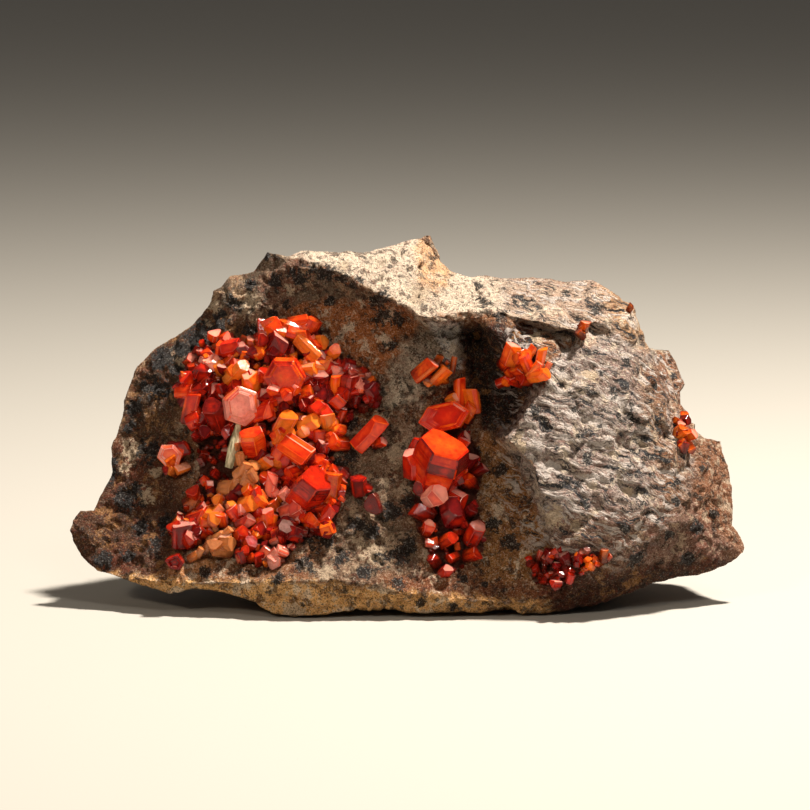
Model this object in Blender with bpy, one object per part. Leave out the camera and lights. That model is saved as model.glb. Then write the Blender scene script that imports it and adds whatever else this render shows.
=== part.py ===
"""Vanadinite specimen: red hexagonal crystals grown on a broken block of matrix rock.

The block rests on a flat patch under its middle, its crystal-bearing face looks along -Y, and the
origin is on the floor under the middle of its bounding box. Shapes are given in a survey frame, in
millimetres: s to the right, t downwards and d backwards, as seen from slightly above the front.
"""

import math
import random

import bmesh
import bpy
from mathutils import Matrix, Vector, noise
from mathutils.bvhtree import BVHTree
from mathutils.geometry import delaunay_2d_cdt

MM = 0.001

# Survey frame.
VIEW_TILT = math.radians(8.0)
SURVEY_MIDDLE = 40.8
SURVEY_FLOOR = 62.2

# Rock.
FRONT_GRID = 1.45
BACK_GRID = 2.9
RING_STEP = 1.5
BACK_BULGE = 0.3
BROAD_NOISE = 0.30
BROAD_NOISE_SIZE = 4.2
FINE_NOISE = 0.24
FINE_NOISE_SIZE = 1.7
RIM_NOISE_SHARE = 0.35
BACK_NOISE_SHARE = 2.2
LOWEST_UNDERSIDE = 0.25

# Crystals.
ROCK_GAP = 0.33
STEEPEST_GAP_SHARE = 0.42
CRUST_GRID = 3.6
CRUST_THICKNESS = 0.95
CRUST_RIM_THICKNESS = 0.62
CRUST_ROOT = 1.6
SEAT_SHARE = 0.30
FLATTENING = 0.10
ROLL_SEED = 4
FLAT_ANGLE = math.radians(0.6)

# Outline of the block as seen from the front, clockwise from the left toe: s, t, d.
OUTLINE = (
    (7.0, 53.0, 11.0), (7.3, 52.0, 11.5), (8.1, 51.1, 12.0), (9.0, 51.0, 12.2), (9.3, 51.0, 12.6),
    (10.5, 48.3, 14.0), (11.0, 47.2, 14.5), (11.0, 44.8, 15.0), (11.5, 43.2, 15.5),
    (12.0, 41.8, 16.0), (12.1, 40.0, 16.5), (12.7, 38.3, 17.0), (13.3, 36.5, 17.5),
    (14.0, 36.0, 17.5), (15.4, 34.7, 17.5), (17.5, 33.4, 17.0), (19.0, 32.4, 16.5),
    (19.8, 31.5, 16.0), (20.8, 30.3, 15.5), (21.2, 29.0, 15.2), (22.0, 28.6, 15.0),
    (23.0, 27.5, 15.0), (24.0, 27.3, 15.0), (25.2, 26.9, 14.5), (26.1, 25.8, 14.2),
    (26.7, 25.1, 14.0), (27.7, 25.3, 14.0), (28.9, 25.5, 13.8), (30.1, 25.0, 14.2),
    (31.0, 24.9, 14.5), (32.6, 24.9, 15.0), (33.8, 25.0, 15.2), (34.7, 24.9, 15.6),
    (35.9, 25.1, 16.0), (37.3, 24.9, 16.5), (38.2, 24.6, 17.0), (39.3, 24.3, 17.5),
    (41.0, 23.6, 18.0), (42.1, 23.5, 18.5), (42.7, 23.2, 19.0), (43.1, 23.3, 19.2),
    (43.7, 24.6, 19.5), (44.2, 25.9, 19.0), (45.0, 26.7, 18.0), (45.7, 27.1, 17.5),
    (47.0, 27.5, 17.0), (48.5, 27.3, 17.0), (50.2, 27.6, 17.0), (51.9, 27.6, 17.5),
    (53.5, 27.4, 18.0), (55.2, 27.6, 18.0), (56.5, 27.9, 18.0), (58.4, 27.9, 18.0),
    (59.5, 27.8, 17.5), (60.1, 28.1, 17.0), (61.1, 28.7, 16.5), (62.1, 29.4, 16.0),
    (62.5, 29.9, 16.0), (63.3, 30.3, 15.6), (63.7, 30.8, 15.5), (63.8, 31.7, 15.5),
    (64.6, 33.1, 16.0), (64.8, 34.1, 16.4), (65.4, 34.6, 19.0), (67.4, 34.9, 20.0),
    (68.1, 36.1, 20.0), (68.9, 38.4, 19.5), (68.4, 39.2, 18.6), (68.4, 40.4, 18.2),
    (69.1, 41.1, 18.0), (69.1, 42.0, 17.6), (69.9, 42.4, 17.5), (70.0, 43.0, 17.2),
    (70.8, 43.8, 17.0), (72.4, 44.2, 17.4), (72.6, 45.1, 17.0), (73.2, 46.6, 16.5),
    (73.5, 48.7, 16.0), (73.5, 50.6, 15.0), (73.5, 52.6, 14.5), (74.2, 53.7, 13.5),
    (74.6, 54.8, 13.0), (74.4, 55.3, 12.5), (73.3, 56.2, 12.0), (71.6, 57.0, 11.5),
    (69.6, 57.5, 10.5), (67.7, 57.7, 10.0), (65.2, 58.3, 9.0), (64.1, 58.8, 8.5),
    (62.0, 59.5, 8.0), (58.7, 60.3, 7.0), (54.7, 61.2, 6.2), (53.1, 61.35, 5.8),
    (52.0, 61.2, 5.6), (50.7, 60.7, 5.5), (48.0, 61.0, 5.5), (45.4, 60.8, 5.2),
    (42.7, 61.0, 5.0), (40.0, 60.8, 5.0), (38.1, 60.7, 4.8), (32.8, 61.1, 4.6),
    (30.1, 61.5, 4.6), (28.8, 61.5, 4.8), (27.4, 61.1, 5.0), (25.3, 59.8, 5.2),
    (23.1, 59.1, 5.6), (20.5, 58.7, 6.0), (19.4, 58.7, 6.5), (17.5, 59.3, 6.6),
    (16.7, 59.1, 7.0), (14.0, 58.2, 8.0), (11.9, 57.6, 8.6), (10.0, 57.0, 9.5),
    (8.1, 55.5, 10.5), (7.3, 54.1, 11.0),
)

# Edges and foot lines of the front: each is a run of s, t, d.
FRONT_LINES = {
    "lip of the lit top": (
        (28.9, 26.3, 12.2), (30.4, 26.7, 11.6), (33.0, 27.1, 10.6), (35.0, 27.5, 9.6),
        (36.5, 29.0, 8.6), (38.5, 29.8, 8.0), (40.8, 30.8, 7.4), (43.0, 32.2, 6.8),
        (45.5, 32.0, 7.4), (48.0, 32.0, 7.2), (49.6, 33.6, 6.6),
    ),
    "hollow under the lip": (
        (29.0, 28.6, 12.9), (31.0, 29.3, 12.6), (33.5, 29.7, 12.2), (35.4, 30.4, 11.6),
        (37.2, 31.6, 11.2), (39.2, 32.1, 11.0), (41.0, 32.6, 11.2), (43.2, 33.6, 12.4),
        (45.6, 33.3, 13.4), (48.0, 33.4, 13.6), (49.0, 34.9, 13.2),
    ),
    "upper left edge of the slab": (
        (50.2, 34.2, 6.6), (51.5, 35.7, 6.5), (53.9, 38.4, 6.0),
    ),
    "foot of the upper slab edge": (
        (50.2, 36.2, 12.8), (52.0, 38.6, 12.4), (52.3, 40.2, 12.2), (50.9, 42.4, 12.0),
    ),
    "left edge of the slab": (
        (53.5, 39.4, 5.7), (52.3, 41.2, 5.0), (51.1, 43.0, 4.3), (50.5, 43.7, 4.0),
        (52.0, 45.4, 3.9), (53.4, 47.0, 3.9), (53.9, 50.0, 4.0), (54.9, 53.0, 4.0),
        (56.9, 54.5, 3.8),
    ),
    "foot of the slab edge": (
        (49.6, 44.4, 9.6), (51.0, 46.2, 9.2), (52.3, 47.8, 8.7), (52.8, 50.4, 7.8),
        (53.5, 53.4, 6.6), (55.2, 55.6, 5.0),
    ),
    "lower edge of the front": (
        (14.2, 57.7, 7.3), (17.5, 58.2, 5.7), (20.5, 58.0, 5.0), (24.7, 57.9, 4.1),
        (28.8, 57.8, 3.2), (32.8, 57.6, 2.9), (36.8, 57.9, 3.1), (39.5, 58.7, 3.3),
        (42.7, 59.3, 3.5), (46.7, 59.7, 3.7), (50.7, 60.0, 4.2), (53.0, 59.6, 3.9),
        (56.0, 58.8, 3.5), (60.1, 57.8, 4.0), (65.5, 57.3, 7.2),
    ),
    "edge towards the set back outcrop": (
        (64.6, 35.0, 12.6), (65.6, 37.2, 12.2), (66.6, 39.6, 12.0), (67.4, 42.2, 11.6),
        (68.6, 44.4, 12.0), (70.4, 46.6, 12.6),
    ),
    "foot of the set back outcrop": (
        (65.6, 35.2, 16.6), (66.5, 37.0, 16.2), (67.5, 39.2, 15.8), (68.2, 41.6, 15.0),
        (69.4, 43.6, 15.0), (71.2, 45.4, 15.2),
    ),
    "ridge below the peak": (
        (42.3, 24.4, 17.6), (41.6, 25.6, 15.6), (41.2, 26.8, 13.8), (42.4, 28.4, 11.0),
    ),
    "foot of the peak facet": (
        (43.4, 26.0, 18.4), (43.9, 27.3, 15.6), (44.0, 28.6, 12.6),
    ),
    "crack in the slab, upper rim": (
        (52.1, 31.9, 9.2), (53.8, 32.2, 9.2), (55.6, 32.7, 9.4), (57.3, 33.0, 9.8),
    ),
    "crack in the slab, bottom": (
        (52.4, 32.5, 11.2), (54.0, 32.9, 11.6), (55.5, 33.4, 11.8), (57.0, 33.9, 11.6),
        (56.6, 35.2, 10.4),
    ),
    "crack in the slab, lower rim": (
        (52.2, 33.2, 8.8), (54.0, 33.8, 8.4), (55.2, 34.3, 8.2), (55.9, 35.4, 8.0),
        (56.7, 36.3, 7.8), (57.6, 35.2, 8.2), (58.0, 34.2, 8.8),
    ),
}

# Single points of the front: s, t, d.
FRONT_POINTS = {
    "upper left flank": (
        (24.0, 29.0, 13.7), (26.5, 27.8, 13.0), (22.0, 31.0, 13.9), (28.2, 30.4, 12.8),
        (21.0, 33.2, 13.6), (18.8, 34.8, 14.4), (26.8, 31.6, 12.6), (24.0, 31.9, 12.9),
    ),
    "pale knob": (
        (25.2, 30.6, 11.5), (24.4, 31.2, 12.0), (26.1, 30.5, 12.0), (25.2, 29.6, 12.7),
    ),
    "lit top": (
        (33.0, 25.8, 13.6), (35.0, 26.1, 12.6), (37.0, 26.9, 11.4), (39.0, 26.2, 13.2),
        (39.0, 28.0, 10.4), (40.8, 29.0, 9.2), (38.0, 28.7, 9.6), (36.0, 25.9, 13.8),
        (43.0, 30.0, 9.2), (45.0, 30.0, 11.4), (46.8, 30.6, 9.8), (45.4, 28.4, 14.6),
        (48.5, 29.6, 11.0), (48.0, 28.2, 15.0), (30.8, 25.7, 12.9),
    ),
    "face behind the main crystals": (
        (20.0, 37.0, 12.8), (25.0, 34.5, 12.4), (25.0, 37.0, 11.9), (30.0, 34.0, 12.2),
        (30.0, 37.0, 11.4), (35.0, 34.0, 11.6), (35.0, 37.0, 10.8), (39.0, 35.0, 10.8),
        (18.0, 42.0, 12.9), (23.0, 42.0, 11.4), (28.0, 42.0, 10.4), (33.0, 42.0, 10.0),
        (38.0, 42.0, 10.0), (16.0, 47.0, 12.7), (31.0, 47.0, 9.2), (35.0, 47.0, 8.8),
        (17.0, 52.0, 10.9), (22.0, 53.8, 8.4), (26.0, 52.0, 8.2), (31.0, 52.0, 7.4),
        (35.0, 52.0, 7.1), (27.2, 47.0, 9.9), (38.2, 38.4, 10.7),
        (23.0, 56.2, 6.4), (28.0, 55.0, 6.4), (33.0, 55.0, 5.8), (37.0, 55.4, 5.6),
        (16.0, 55.6, 8.7), (20.2, 56.6, 7.0),
    ),
    "brown hollow in the main crystals": (
        (21.2, 46.4, 12.6), (20.2, 44.0, 12.0), (19.4, 47.6, 12.2), (22.2, 48.6, 11.2),
        (23.2, 44.6, 11.6), (20.4, 50.2, 10.6),
    ),
    "tan rib beside the hollow": (
        (24.8, 44.8, 10.2), (24.6, 46.8, 9.3), (23.6, 49.0, 9.4), (26.0, 48.4, 9.4),
    ),
    "tan rib at the lower left": (
        (18.8, 56.0, 7.0), (20.6, 54.6, 7.4), (22.6, 53.0, 7.9), (18.6, 54.4, 8.9),
    ),
    "left flank": (
        (13.0, 42.0, 15.0), (15.0, 40.0, 14.4), (17.0, 38.0, 13.9), (15.0, 44.0, 14.0),
        (13.0, 47.0, 13.5), (15.0, 50.0, 12.1), (12.0, 51.0, 12.2), (13.0, 54.0, 10.2),
        (15.0, 37.0, 15.3), (17.2, 35.8, 15.2), (12.4, 56.4, 9.2), (12.6, 45.0, 14.4),
    ),
    "left toe": (
        (8.3, 52.9, 9.9), (9.9, 52.2, 11.6), (9.6, 54.8, 9.7), (8.0, 54.4, 10.2),
    ),
    "centre floor": (
        (40.0, 40.0, 10.5), (40.0, 44.0, 9.8), (40.0, 48.0, 8.8), (40.0, 52.0, 7.5),
        (40.0, 56.0, 5.4), (44.0, 41.0, 11.2), (44.0, 44.0, 10.6), (44.0, 48.0, 9.4),
        (44.0, 52.0, 8.2), (44.0, 56.0, 6.2), (48.0, 41.5, 11.8), (47.6, 44.0, 11.0),
        (48.0, 48.0, 9.9), (48.0, 52.0, 8.6), (48.0, 56.0, 6.6), (50.6, 49.0, 9.5),
        (51.2, 52.5, 8.2), (52.0, 57.0, 5.6), (35.0, 56.4, 4.7), (30.5, 53.2, 6.1),
    ),
    "shadowed recess": (
        (47.0, 35.4, 13.4), (48.6, 37.0, 13.2), (50.4, 38.4, 13.0), (49.6, 40.4, 12.8),
        (47.2, 38.4, 12.8), (50.8, 41.0, 12.5),
    ),
    "small block in the recess": (
        (40.8, 33.6, 10.7), (42.8, 34.4, 10.8), (41.4, 35.2, 9.7), (44.2, 34.9, 10.0),
        (46.0, 35.7, 10.3), (43.2, 37.0, 9.7), (45.2, 37.2, 10.3), (44.2, 39.0, 11.0),
        (41.0, 37.4, 10.2), (46.8, 36.4, 12.4),
    ),
    "slab": (
        (54.4, 40.4, 5.7), (56.0, 42.0, 5.1), (53.6, 44.0, 4.1), (58.0, 40.0, 6.1),
        (60.0, 44.0, 5.1), (56.0, 48.0, 3.6), (60.0, 50.0, 3.4), (64.0, 48.0, 5.1),
        (58.0, 53.0, 3.0), (62.0, 54.0, 3.6), (60.0, 56.2, 3.4), (66.0, 52.0, 6.0),
        (70.0, 52.0, 9.0), (65.0, 56.0, 6.0), (69.0, 55.0, 8.9), (72.0, 54.0, 11.0),
        (67.6, 48.0, 8.0), (70.8, 48.6, 11.4), (64.0, 42.0, 7.0), (66.0, 44.2, 8.6),
        (62.0, 38.0, 7.8), (64.2, 38.2, 9.8), (59.6, 36.2, 7.9), (62.4, 35.8, 9.2),
        (63.4, 33.4, 12.0), (56.6, 38.4, 6.5), (53.8, 36.0, 7.0), (51.6, 33.2, 7.6),
        (60.4, 34.8, 8.8), (58.2, 30.6, 12.2), (56.2, 30.2, 12.0), (53.0, 30.4, 11.2),
        (50.4, 31.0, 9.6), (50.0, 28.8, 13.6), (54.0, 28.6, 15.2), (57.0, 29.0, 15.0),
        (60.0, 29.2, 14.6), (61.6, 30.8, 13.2), (62.6, 31.8, 12.8), (55.6, 51.0, 3.6),
    ),
    "pits of the slab": (
        (59.7, 31.2, 12.8), (59.2, 30.6, 12.0), (60.4, 31.9, 11.2), (58.6, 32.4, 10.6),
        (59.8, 33.2, 11.9), (61.0, 33.4, 10.2), (59.2, 34.4, 8.8), (62.2, 34.8, 11.2),
        (61.4, 35.2, 9.2), (63.2, 34.6, 11.6),
    ),
    "right outcrops": (
        (67.0, 37.2, 16.8), (68.0, 39.0, 16.9), (71.5, 46.0, 14.6), (72.6, 50.0, 13.4),
        (72.8, 52.6, 12.8), (67.2, 35.8, 18.2),
    ),
}

# Flat patch that the block rests on, seen from above: s, d.
BASE_RING = (
    (29.6, 5.7), (32.8, 9.6), (38.1, 12.2), (42.7, 10.8), (45.4, 11.9), (48.0, 10.8),
    (50.7, 13.0), (53.1, 7.9), (55.5, 10.8), (58.0, 14.8), (60.5, 20.0), (60.3, 24.0),
    (56.0, 29.3), (47.0, 32.0), (38.0, 33.2), (29.5, 30.6), (25.6, 26.0), (25.8, 19.4),
    (27.4, 12.0),
)

# Back and underside: s, t, d.
BACK_POINTS = {
    "left underside": (
        (20.0, 57.6, 13.0), (15.0, 56.8, 14.5), (11.8, 54.8, 17.0), (17.6, 56.2, 21.5),
        (22.4, 57.4, 24.0), (9.6, 54.0, 16.5), (23.6, 58.2, 16.0),
    ),
    "right underside": (
        (62.6, 57.6, 17.5), (66.0, 56.6, 17.5), (70.2, 55.4, 19.0), (66.0, 54.6, 26.0),
        (62.4, 56.8, 23.0), (73.0, 54.2, 18.0),
    ),
    "lower back wall": (
        (19.0, 51.0, 28.0), (27.5, 51.6, 34.2), (38.0, 50.4, 38.0), (48.0, 51.6, 37.0),
        (58.0, 51.0, 33.6), (66.4, 50.6, 29.0), (70.8, 49.0, 25.0), (13.4, 51.6, 23.5),
        (32.6, 55.6, 34.6), (52.6, 55.4, 33.2),
    ),
    "upper back wall": (
        (16.0, 44.0, 26.0), (24.0, 42.6, 32.4), (34.0, 42.0, 37.4), (44.6, 43.0, 38.2),
        (54.0, 41.0, 35.6), (62.0, 42.4, 31.0), (67.0, 42.4, 26.5), (17.6, 38.4, 24.6),
        (24.0, 35.0, 28.0), (32.6, 34.0, 32.0), (42.0, 33.6, 34.6), (50.4, 34.6, 33.6),
        (58.0, 34.6, 30.0), (63.6, 37.0, 27.0),
    ),
    "back of the top": (
        (24.0, 30.4, 21.6), (30.0, 28.4, 23.0), (37.0, 27.2, 23.8), (42.2, 25.2, 22.0),
        (44.6, 28.2, 24.0), (48.6, 29.8, 25.6), (54.0, 29.6, 25.2), (60.0, 31.0, 24.0),
        (20.4, 33.6, 21.4), (65.2, 36.6, 23.6),
    ),
    "left back edge": (
        (12.0, 45.8, 21.0), (10.4, 50.6, 19.0), (13.2, 41.0, 22.0), (8.8, 52.8, 15.6),
    ),
    "right back edge": (
        (72.0, 49.4, 22.5), (69.6, 44.8, 23.5), (72.4, 51.8, 21.0),
    ),
}

# Broken faces of the back: s, t, d of a point, and how fast d grows with s and with t.
BACK_FACES = (
    (20.0, 45.0, 25.6, 0.92, 0.12), (15.0, 50.0, 23.4, 1.30, -0.30),
    (64.0, 46.0, 27.6, -0.98, 0.05), (69.0, 48.0, 24.8, -1.50, 0.35),
    (40.0, 46.0, 35.4, 0.03, 0.10), (36.0, 33.0, 29.4, 0.16, 0.92),
    (53.0, 33.0, 28.6, -0.30, 1.05), (24.0, 36.0, 25.6, 0.62, 0.62),
    (49.0, 53.0, 34.8, -0.26, -0.55), (30.0, 54.0, 33.0, 0.28, -0.62),
)


# Crystals: s, t, width across the flats, length, turn of the axis in the front view from
# the right, lean of the axis towards the front, and lift off the rock.
MAIN_CRYSTALS = (
    (20.1, 35.3, 0.9, 1.2, 100, 50, 0.3), (20.3, 36.0, 0.8, 1.1, 200, 75, 0.4),
    (21.0, 36.3, 0.9, 1.2, 150, 75, 0.4), (22.3, 34.9, 1.6, 1.9, 80, 40, 0.4),
    (22.5, 33.8, 1.2, 1.3, 10, 60, 0.3), (22.0, 36.9, 1.2, 1.8, 110, 40, 0.5),
    (23.7, 37.3, 1.4, 3.0, 45, 30, 0.7), (23.5, 35.5, 0.9, 1.3, 30, 30, 0.4),
    (24.5, 35.6, 1.0, 1.7, 70, 35, 0.4), (25.7, 35.2, 1.3, 2.0, 2, 28, 0.5),
    (25.5, 37.9, 1.2, 1.6, 120, 30, 0.4), (18.8, 38.2, 1.5, 2.1, 120, 40, 0.3),
    (20.2, 37.3, 1.6, 2.2, 60, 50, 0.4), (21.0, 38.6, 1.3, 1.8, 150, 45, 0.3),
    (19.1, 40.8, 1.5, 3.4, 76, 20, 0.5), (21.6, 41.5, 2.1, 3.2, 108, 40, 0.6),
    (24.2, 40.9, 3.5, 3.2, 200, 68, 1.2), (26.4, 41.1, 1.8, 2.3, 20, 30, 0.9),
    (28.6, 37.7, 3.9, 3.6, 20, 55, 1.4), (27.5, 38.9, 1.2, 1.5, 240, 50, 2.1),
    (28.7, 39.4, 1.1, 1.4, 290, 55, 2.1), (29.5, 38.9, 1.0, 1.4, 320, 50, 2.1),
    (27.2, 33.1, 0.8, 1.3, 60, 30, 0.2), (28.5, 32.8, 1.3, 1.9, 80, 35, 0.4),
    (30.0, 32.2, 1.3, 2.5, 10, 20, 0.5), (29.8, 33.5, 1.3, 2.5, 2, 30, 0.6),
    (30.9, 34.9, 1.4, 3.3, -45, 20, 0.8), (27.6, 34.8, 2.2, 2.9, 60, 30, 0.4),
    (31.1, 36.9, 1.5, 1.9, 5, 40, 0.7), (32.6, 36.6, 1.4, 1.9, 85, 40, 0.5),
    (33.8, 37.0, 1.1, 1.6, 200, 72, 0.5), (34.7, 36.7, 1.0, 1.5, 120, 78, 0.4),
    (34.8, 38.6, 1.9, 2.8, 80, 30, 0.5), (33.6, 38.4, 1.1, 2.0, 85, 30, 0.9),
    (35.7, 38.2, 0.9, 1.3, 20, 70, 0.7), (37.2, 39.4, 1.4, 2.5, 100, 30, 0.2),
    (30.9, 38.4, 0.9, 1.4, 30, 40, 0.8), (32.5, 38.8, 1.1, 1.5, 130, 40, 0.5),
    (31.1, 39.8, 1.1, 1.5, 220, 50, 0.7), (33.0, 40.2, 1.2, 1.6, 40, 50, 0.4),
    (32.0, 41.0, 1.6, 1.9, 100, 72, 0.6), (31.0, 42.4, 1.6, 2.3, 28, 30, 0.6),
    (32.9, 42.2, 1.5, 2.2, 100, 30, 0.5), (34.1, 41.9, 0.9, 2.2, 68, 20, 0.4),
    (28.6, 42.2, 1.9, 2.4, 60, 40, 0.9), (33.0, 43.7, 1.2, 1.6, 20, 40, 0.3),
    (25.4, 44.2, 2.2, 2.8, 100, 40, 0.8), (28.2, 43.9, 1.6, 1.9, 150, 45, 0.7),
    (29.8, 45.0, 2.2, 3.5, -33, 25, 0.9), (32.2, 44.9, 1.5, 1.9, 60, 40, 0.4),
    (32.2, 46.5, 1.1, 1.7, 30, 30, 0.5), (30.6, 48.7, 2.9, 4.5, 68, 25, 1.1),
    (33.1, 48.6, 1.9, 3.5, 82, 25, 0.5), (27.2, 48.3, 1.4, 2.4, 80, 20, 0.8),
    (25.0, 49.2, 1.3, 1.7, 130, 40, 0.8), (25.9, 50.2, 1.5, 2.1, 40, 35, 0.8),
    (29.1, 50.7, 1.4, 2.2, 20, 30, 0.7), (32.6, 51.6, 1.3, 2.9, 52, 20, 0.4),
    (31.5, 52.2, 1.2, 2.4, 130, 25, 0.4), (26.9, 52.2, 1.2, 3.1, 86, 20, 0.7),
    (24.7, 52.1, 1.2, 2.0, 30, 30, 0.6), (26.0, 53.2, 1.0, 1.4, 200, 50, 0.6),
    (22.0, 49.9, 1.1, 1.5, 160, 70, 0.5), (23.3, 50.6, 1.2, 1.5, 60, 65, 0.6),
    (24.2, 50.9, 1.1, 1.5, 20, 65, 0.7), (21.2, 51.3, 1.1, 1.5, 240, 60, 0.4),
    (19.9, 51.6, 1.6, 2.4, 20, 30, 0.5), (18.5, 53.3, 2.3, 2.6, 88, 22, 0.6),
    (20.4, 53.2, 1.1, 1.6, 140, 40, 0.4), (22.4, 51.8, 1.1, 1.6, 100, 40, 0.5),
    (20.3, 48.2, 0.9, 1.3, 20, 45, 0.2), (22.6, 45.4, 1.0, 1.4, 80, 40, 0.3),
    (25.1, 54.3, 1.4, 1.9, 50, 50, 0.4),
    (27.4, 55.5, 1.1, 2.0, 45, 20, 0.4), (28.6, 54.8, 0.9, 1.3, 300, 75, 0.3),
    (26.5, 46.3, 1.3, 1.8, 30, 45, 0.7), (23.0, 43.0, 1.3, 1.8, 220, 50, 0.6),
    (26.6, 39.6, 1.3, 1.9, 160, 40, 0.9), (22.4, 38.9, 1.2, 1.7, 200, 50, 0.5),
    (25.8, 33.8, 0.9, 1.3, 140, 45, 0.2), (29.4, 47.1, 1.2, 1.7, 200, 45, 0.8),
)
MAIN_OUTLINE = (
    (19.4, 34.8), (21.6, 33.4), (24.6, 34.6), (26.6, 32.6), (29.2, 31.6), (31.6, 31.8),
    (32.6, 34.4), (35.0, 36.2), (38.0, 38.2), (38.0, 40.6), (35.4, 41.4), (34.0, 44.2),
    (33.0, 46.4), (34.4, 47.4), (34.2, 50.0), (33.6, 52.6), (30.4, 53.6), (28.8, 55.8),
    (26.4, 56.4), (23.4, 55.6), (20.8, 54.2), (18.0, 54.6), (17.2, 52.4), (18.6, 50.6),
    (20.0, 47.4), (19.8, 44.2), (18.4, 41.4), (17.6, 38.4),
)

FAR_LEFT_CRYSTALS = (
    (17.0, 45.9, 2.1, 2.0, 210, 74, 0.7), (17.8, 44.9, 1.2, 1.7, 80, 60, 0.5),
    (17.8, 46.9, 1.2, 1.6, 200, 30, 0.4), (16.6, 44.9, 1.0, 1.5, 130, 60, 0.4),
)
FAR_LEFT_OUTLINE = ((16.0, 44.6), (17.6, 44.2), (18.4, 45.4), (18.2, 47.2), (16.6, 47.2))

HOLLOW_CRYSTAL = (17.8, 55.9, 1.7, 2.2, 250, 84, 0.6)
HOLLOW_CRYSTAL_OPENING = 0.8
HOLLOW_CRYSTAL_DEPTH = 0.5

LONE_CRYSTALS = ((37.0, 43.3, 1.75, 4.0, 46, 14, 0.75), (37.9, 44.2, 1.1, 1.6, 20, 45, 0.2))
LONE_OUTLINE = ((35.8, 43.6), (37.2, 42.4), (38.6, 43.0), (38.6, 44.8), (36.6, 45.0))

PINK_TOPPED_CRYSTALS = ((35.8, 48.4, 1.8, 2.0, 95, 38, 0.5), (36.6, 48.8, 1.0, 1.3, 20, 50, 0.2))
PINK_TOPPED_OUTLINE = ((35.0, 47.8), (36.6, 47.8), (37.0, 49.0), (35.2, 49.2))

DISC_CRYSTALS = ((37.4, 50.3, 2.1, 1.6, 200, 78, 0.4),)
DISC_OUTLINE = ((36.7, 49.6), (38.1, 49.6), (38.1, 51.0), (36.7, 51.0))

UPPER_CENTRE_CRYSTALS = (
    (42.5, 37.0, 1.5, 2.8, 40, 25, 0.7), (44.1, 37.5, 1.2, 2.3, 45, 25, 0.6),
    (43.8, 36.0, 0.8, 1.3, 60, 30, 0.4), (45.3, 36.5, 0.6, 1.8, 80, 15, 0.3),
    (43.0, 38.2, 0.9, 1.3, 200, 45, 0.3),
)
UPPER_CENTRE_OUTLINE = (
    (41.6, 37.2), (42.8, 35.8), (45.0, 35.8), (45.6, 37.0), (44.4, 38.6), (42.4, 38.6),
)

COLUMN_CRYSTALS = (
    (45.9, 39.4, 1.2, 3.4, 90, 10, 0.7), (47.2, 40.0, 1.5, 2.7, 100, 20, 0.6),
    (45.2, 39.8, 1.0, 1.3, 20, 50, 0.6), (44.4, 41.7, 2.3, 5.2, 11, 10, 1.3),
    (46.8, 41.2, 1.4, 2.0, 60, 30, 0.9), (43.7, 46.0, 4.3, 5.2, 78, 30, 1.5),
    (41.4, 46.3, 2.1, 2.8, 92, 25, 0.6), (43.5, 49.5, 2.1, 2.4, 20, 58, 0.9),
    (45.7, 49.7, 1.6, 2.0, 330, 58, 0.7), (45.2, 51.4, 2.6, 2.6, 280, 72, 0.8),
    (42.4, 51.4, 2.1, 2.6, 150, 45, 0.6), (43.0, 52.9, 1.7, 2.1, 60, 52, 0.6),
    (44.7, 53.9, 1.9, 2.4, 30, 40, 0.7), (47.7, 53.4, 2.3, 3.0, 64, 36, 0.6),
    (47.1, 55.3, 1.4, 1.9, 20, 45, 0.4), (43.4, 55.9, 1.1, 1.5, 120, 45, 0.3),
    (44.5, 56.9, 1.1, 1.5, 40, 50, 0.3), (45.2, 55.6, 1.0, 1.4, 200, 50, 0.3),
    (46.7, 46.2, 1.6, 2.2, 60, 40, 0.5), (47.9, 47.0, 1.3, 1.8, 30, 40, 0.3),
    (46.9, 48.0, 1.2, 1.6, 130, 45, 0.4), (46.2, 44.0, 1.3, 1.8, 40, 45, 0.5),
    (46.8, 51.0, 1.2, 1.7, 20, 45, 0.4), (42.2, 48.6, 1.3, 1.8, 200, 50, 0.5),
)
COLUMN_OUTLINE = (
    (44.8, 38.2), (47.6, 38.6), (48.2, 41.0), (47.0, 43.0), (48.2, 45.6), (48.4, 47.8),
    (47.6, 50.4), (48.8, 52.6), (48.4, 55.2), (46.0, 57.0), (43.2, 57.4), (42.6, 55.0),
    (41.4, 52.8), (41.2, 50.4), (41.6, 48.4), (40.6, 46.2), (41.6, 44.2), (42.6, 42.8),
    (42.0, 41.2), (44.0, 40.4),
)

UPPER_RIGHT_CRYSTALS = (
    (51.0, 35.7, 2.1, 2.6, 60, 42, 0.6), (50.9, 38.1, 1.5, 2.6, 22, 20, 0.7),
    (53.9, 36.4, 1.7, 3.4, 84, 20, 0.5), (53.6, 37.9, 1.4, 2.0, 2, 30, 0.6),
    (52.4, 36.4, 1.4, 2.1, 100, 45, 0.6), (52.2, 37.8, 1.2, 1.8, 200, 45, 0.5),
)
UPPER_RIGHT_OUTLINE = (
    (50.2, 35.2), (52.2, 34.8), (54.2, 35.4), (54.4, 37.6), (52.6, 38.8), (50.4, 38.6),
)

POCKET_CRYSTALS = ((58.2, 32.9, 1.1, 1.9, 65, 30, 0.3), (57.9, 33.5, 0.8, 1.2, 130, 40, 0.2))
POCKET_OUTLINE = ((57.6, 32.4), (58.6, 32.2), (58.8, 33.6), (57.8, 33.8))

RIM_CRYSTALS = ((63.0, 30.9, 0.8, 1.3, 60, 40, 0.3),)
RIM_OUTLINE = ((62.7, 30.6), (63.3, 30.6), (63.3, 31.3), (62.7, 31.3))

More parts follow.
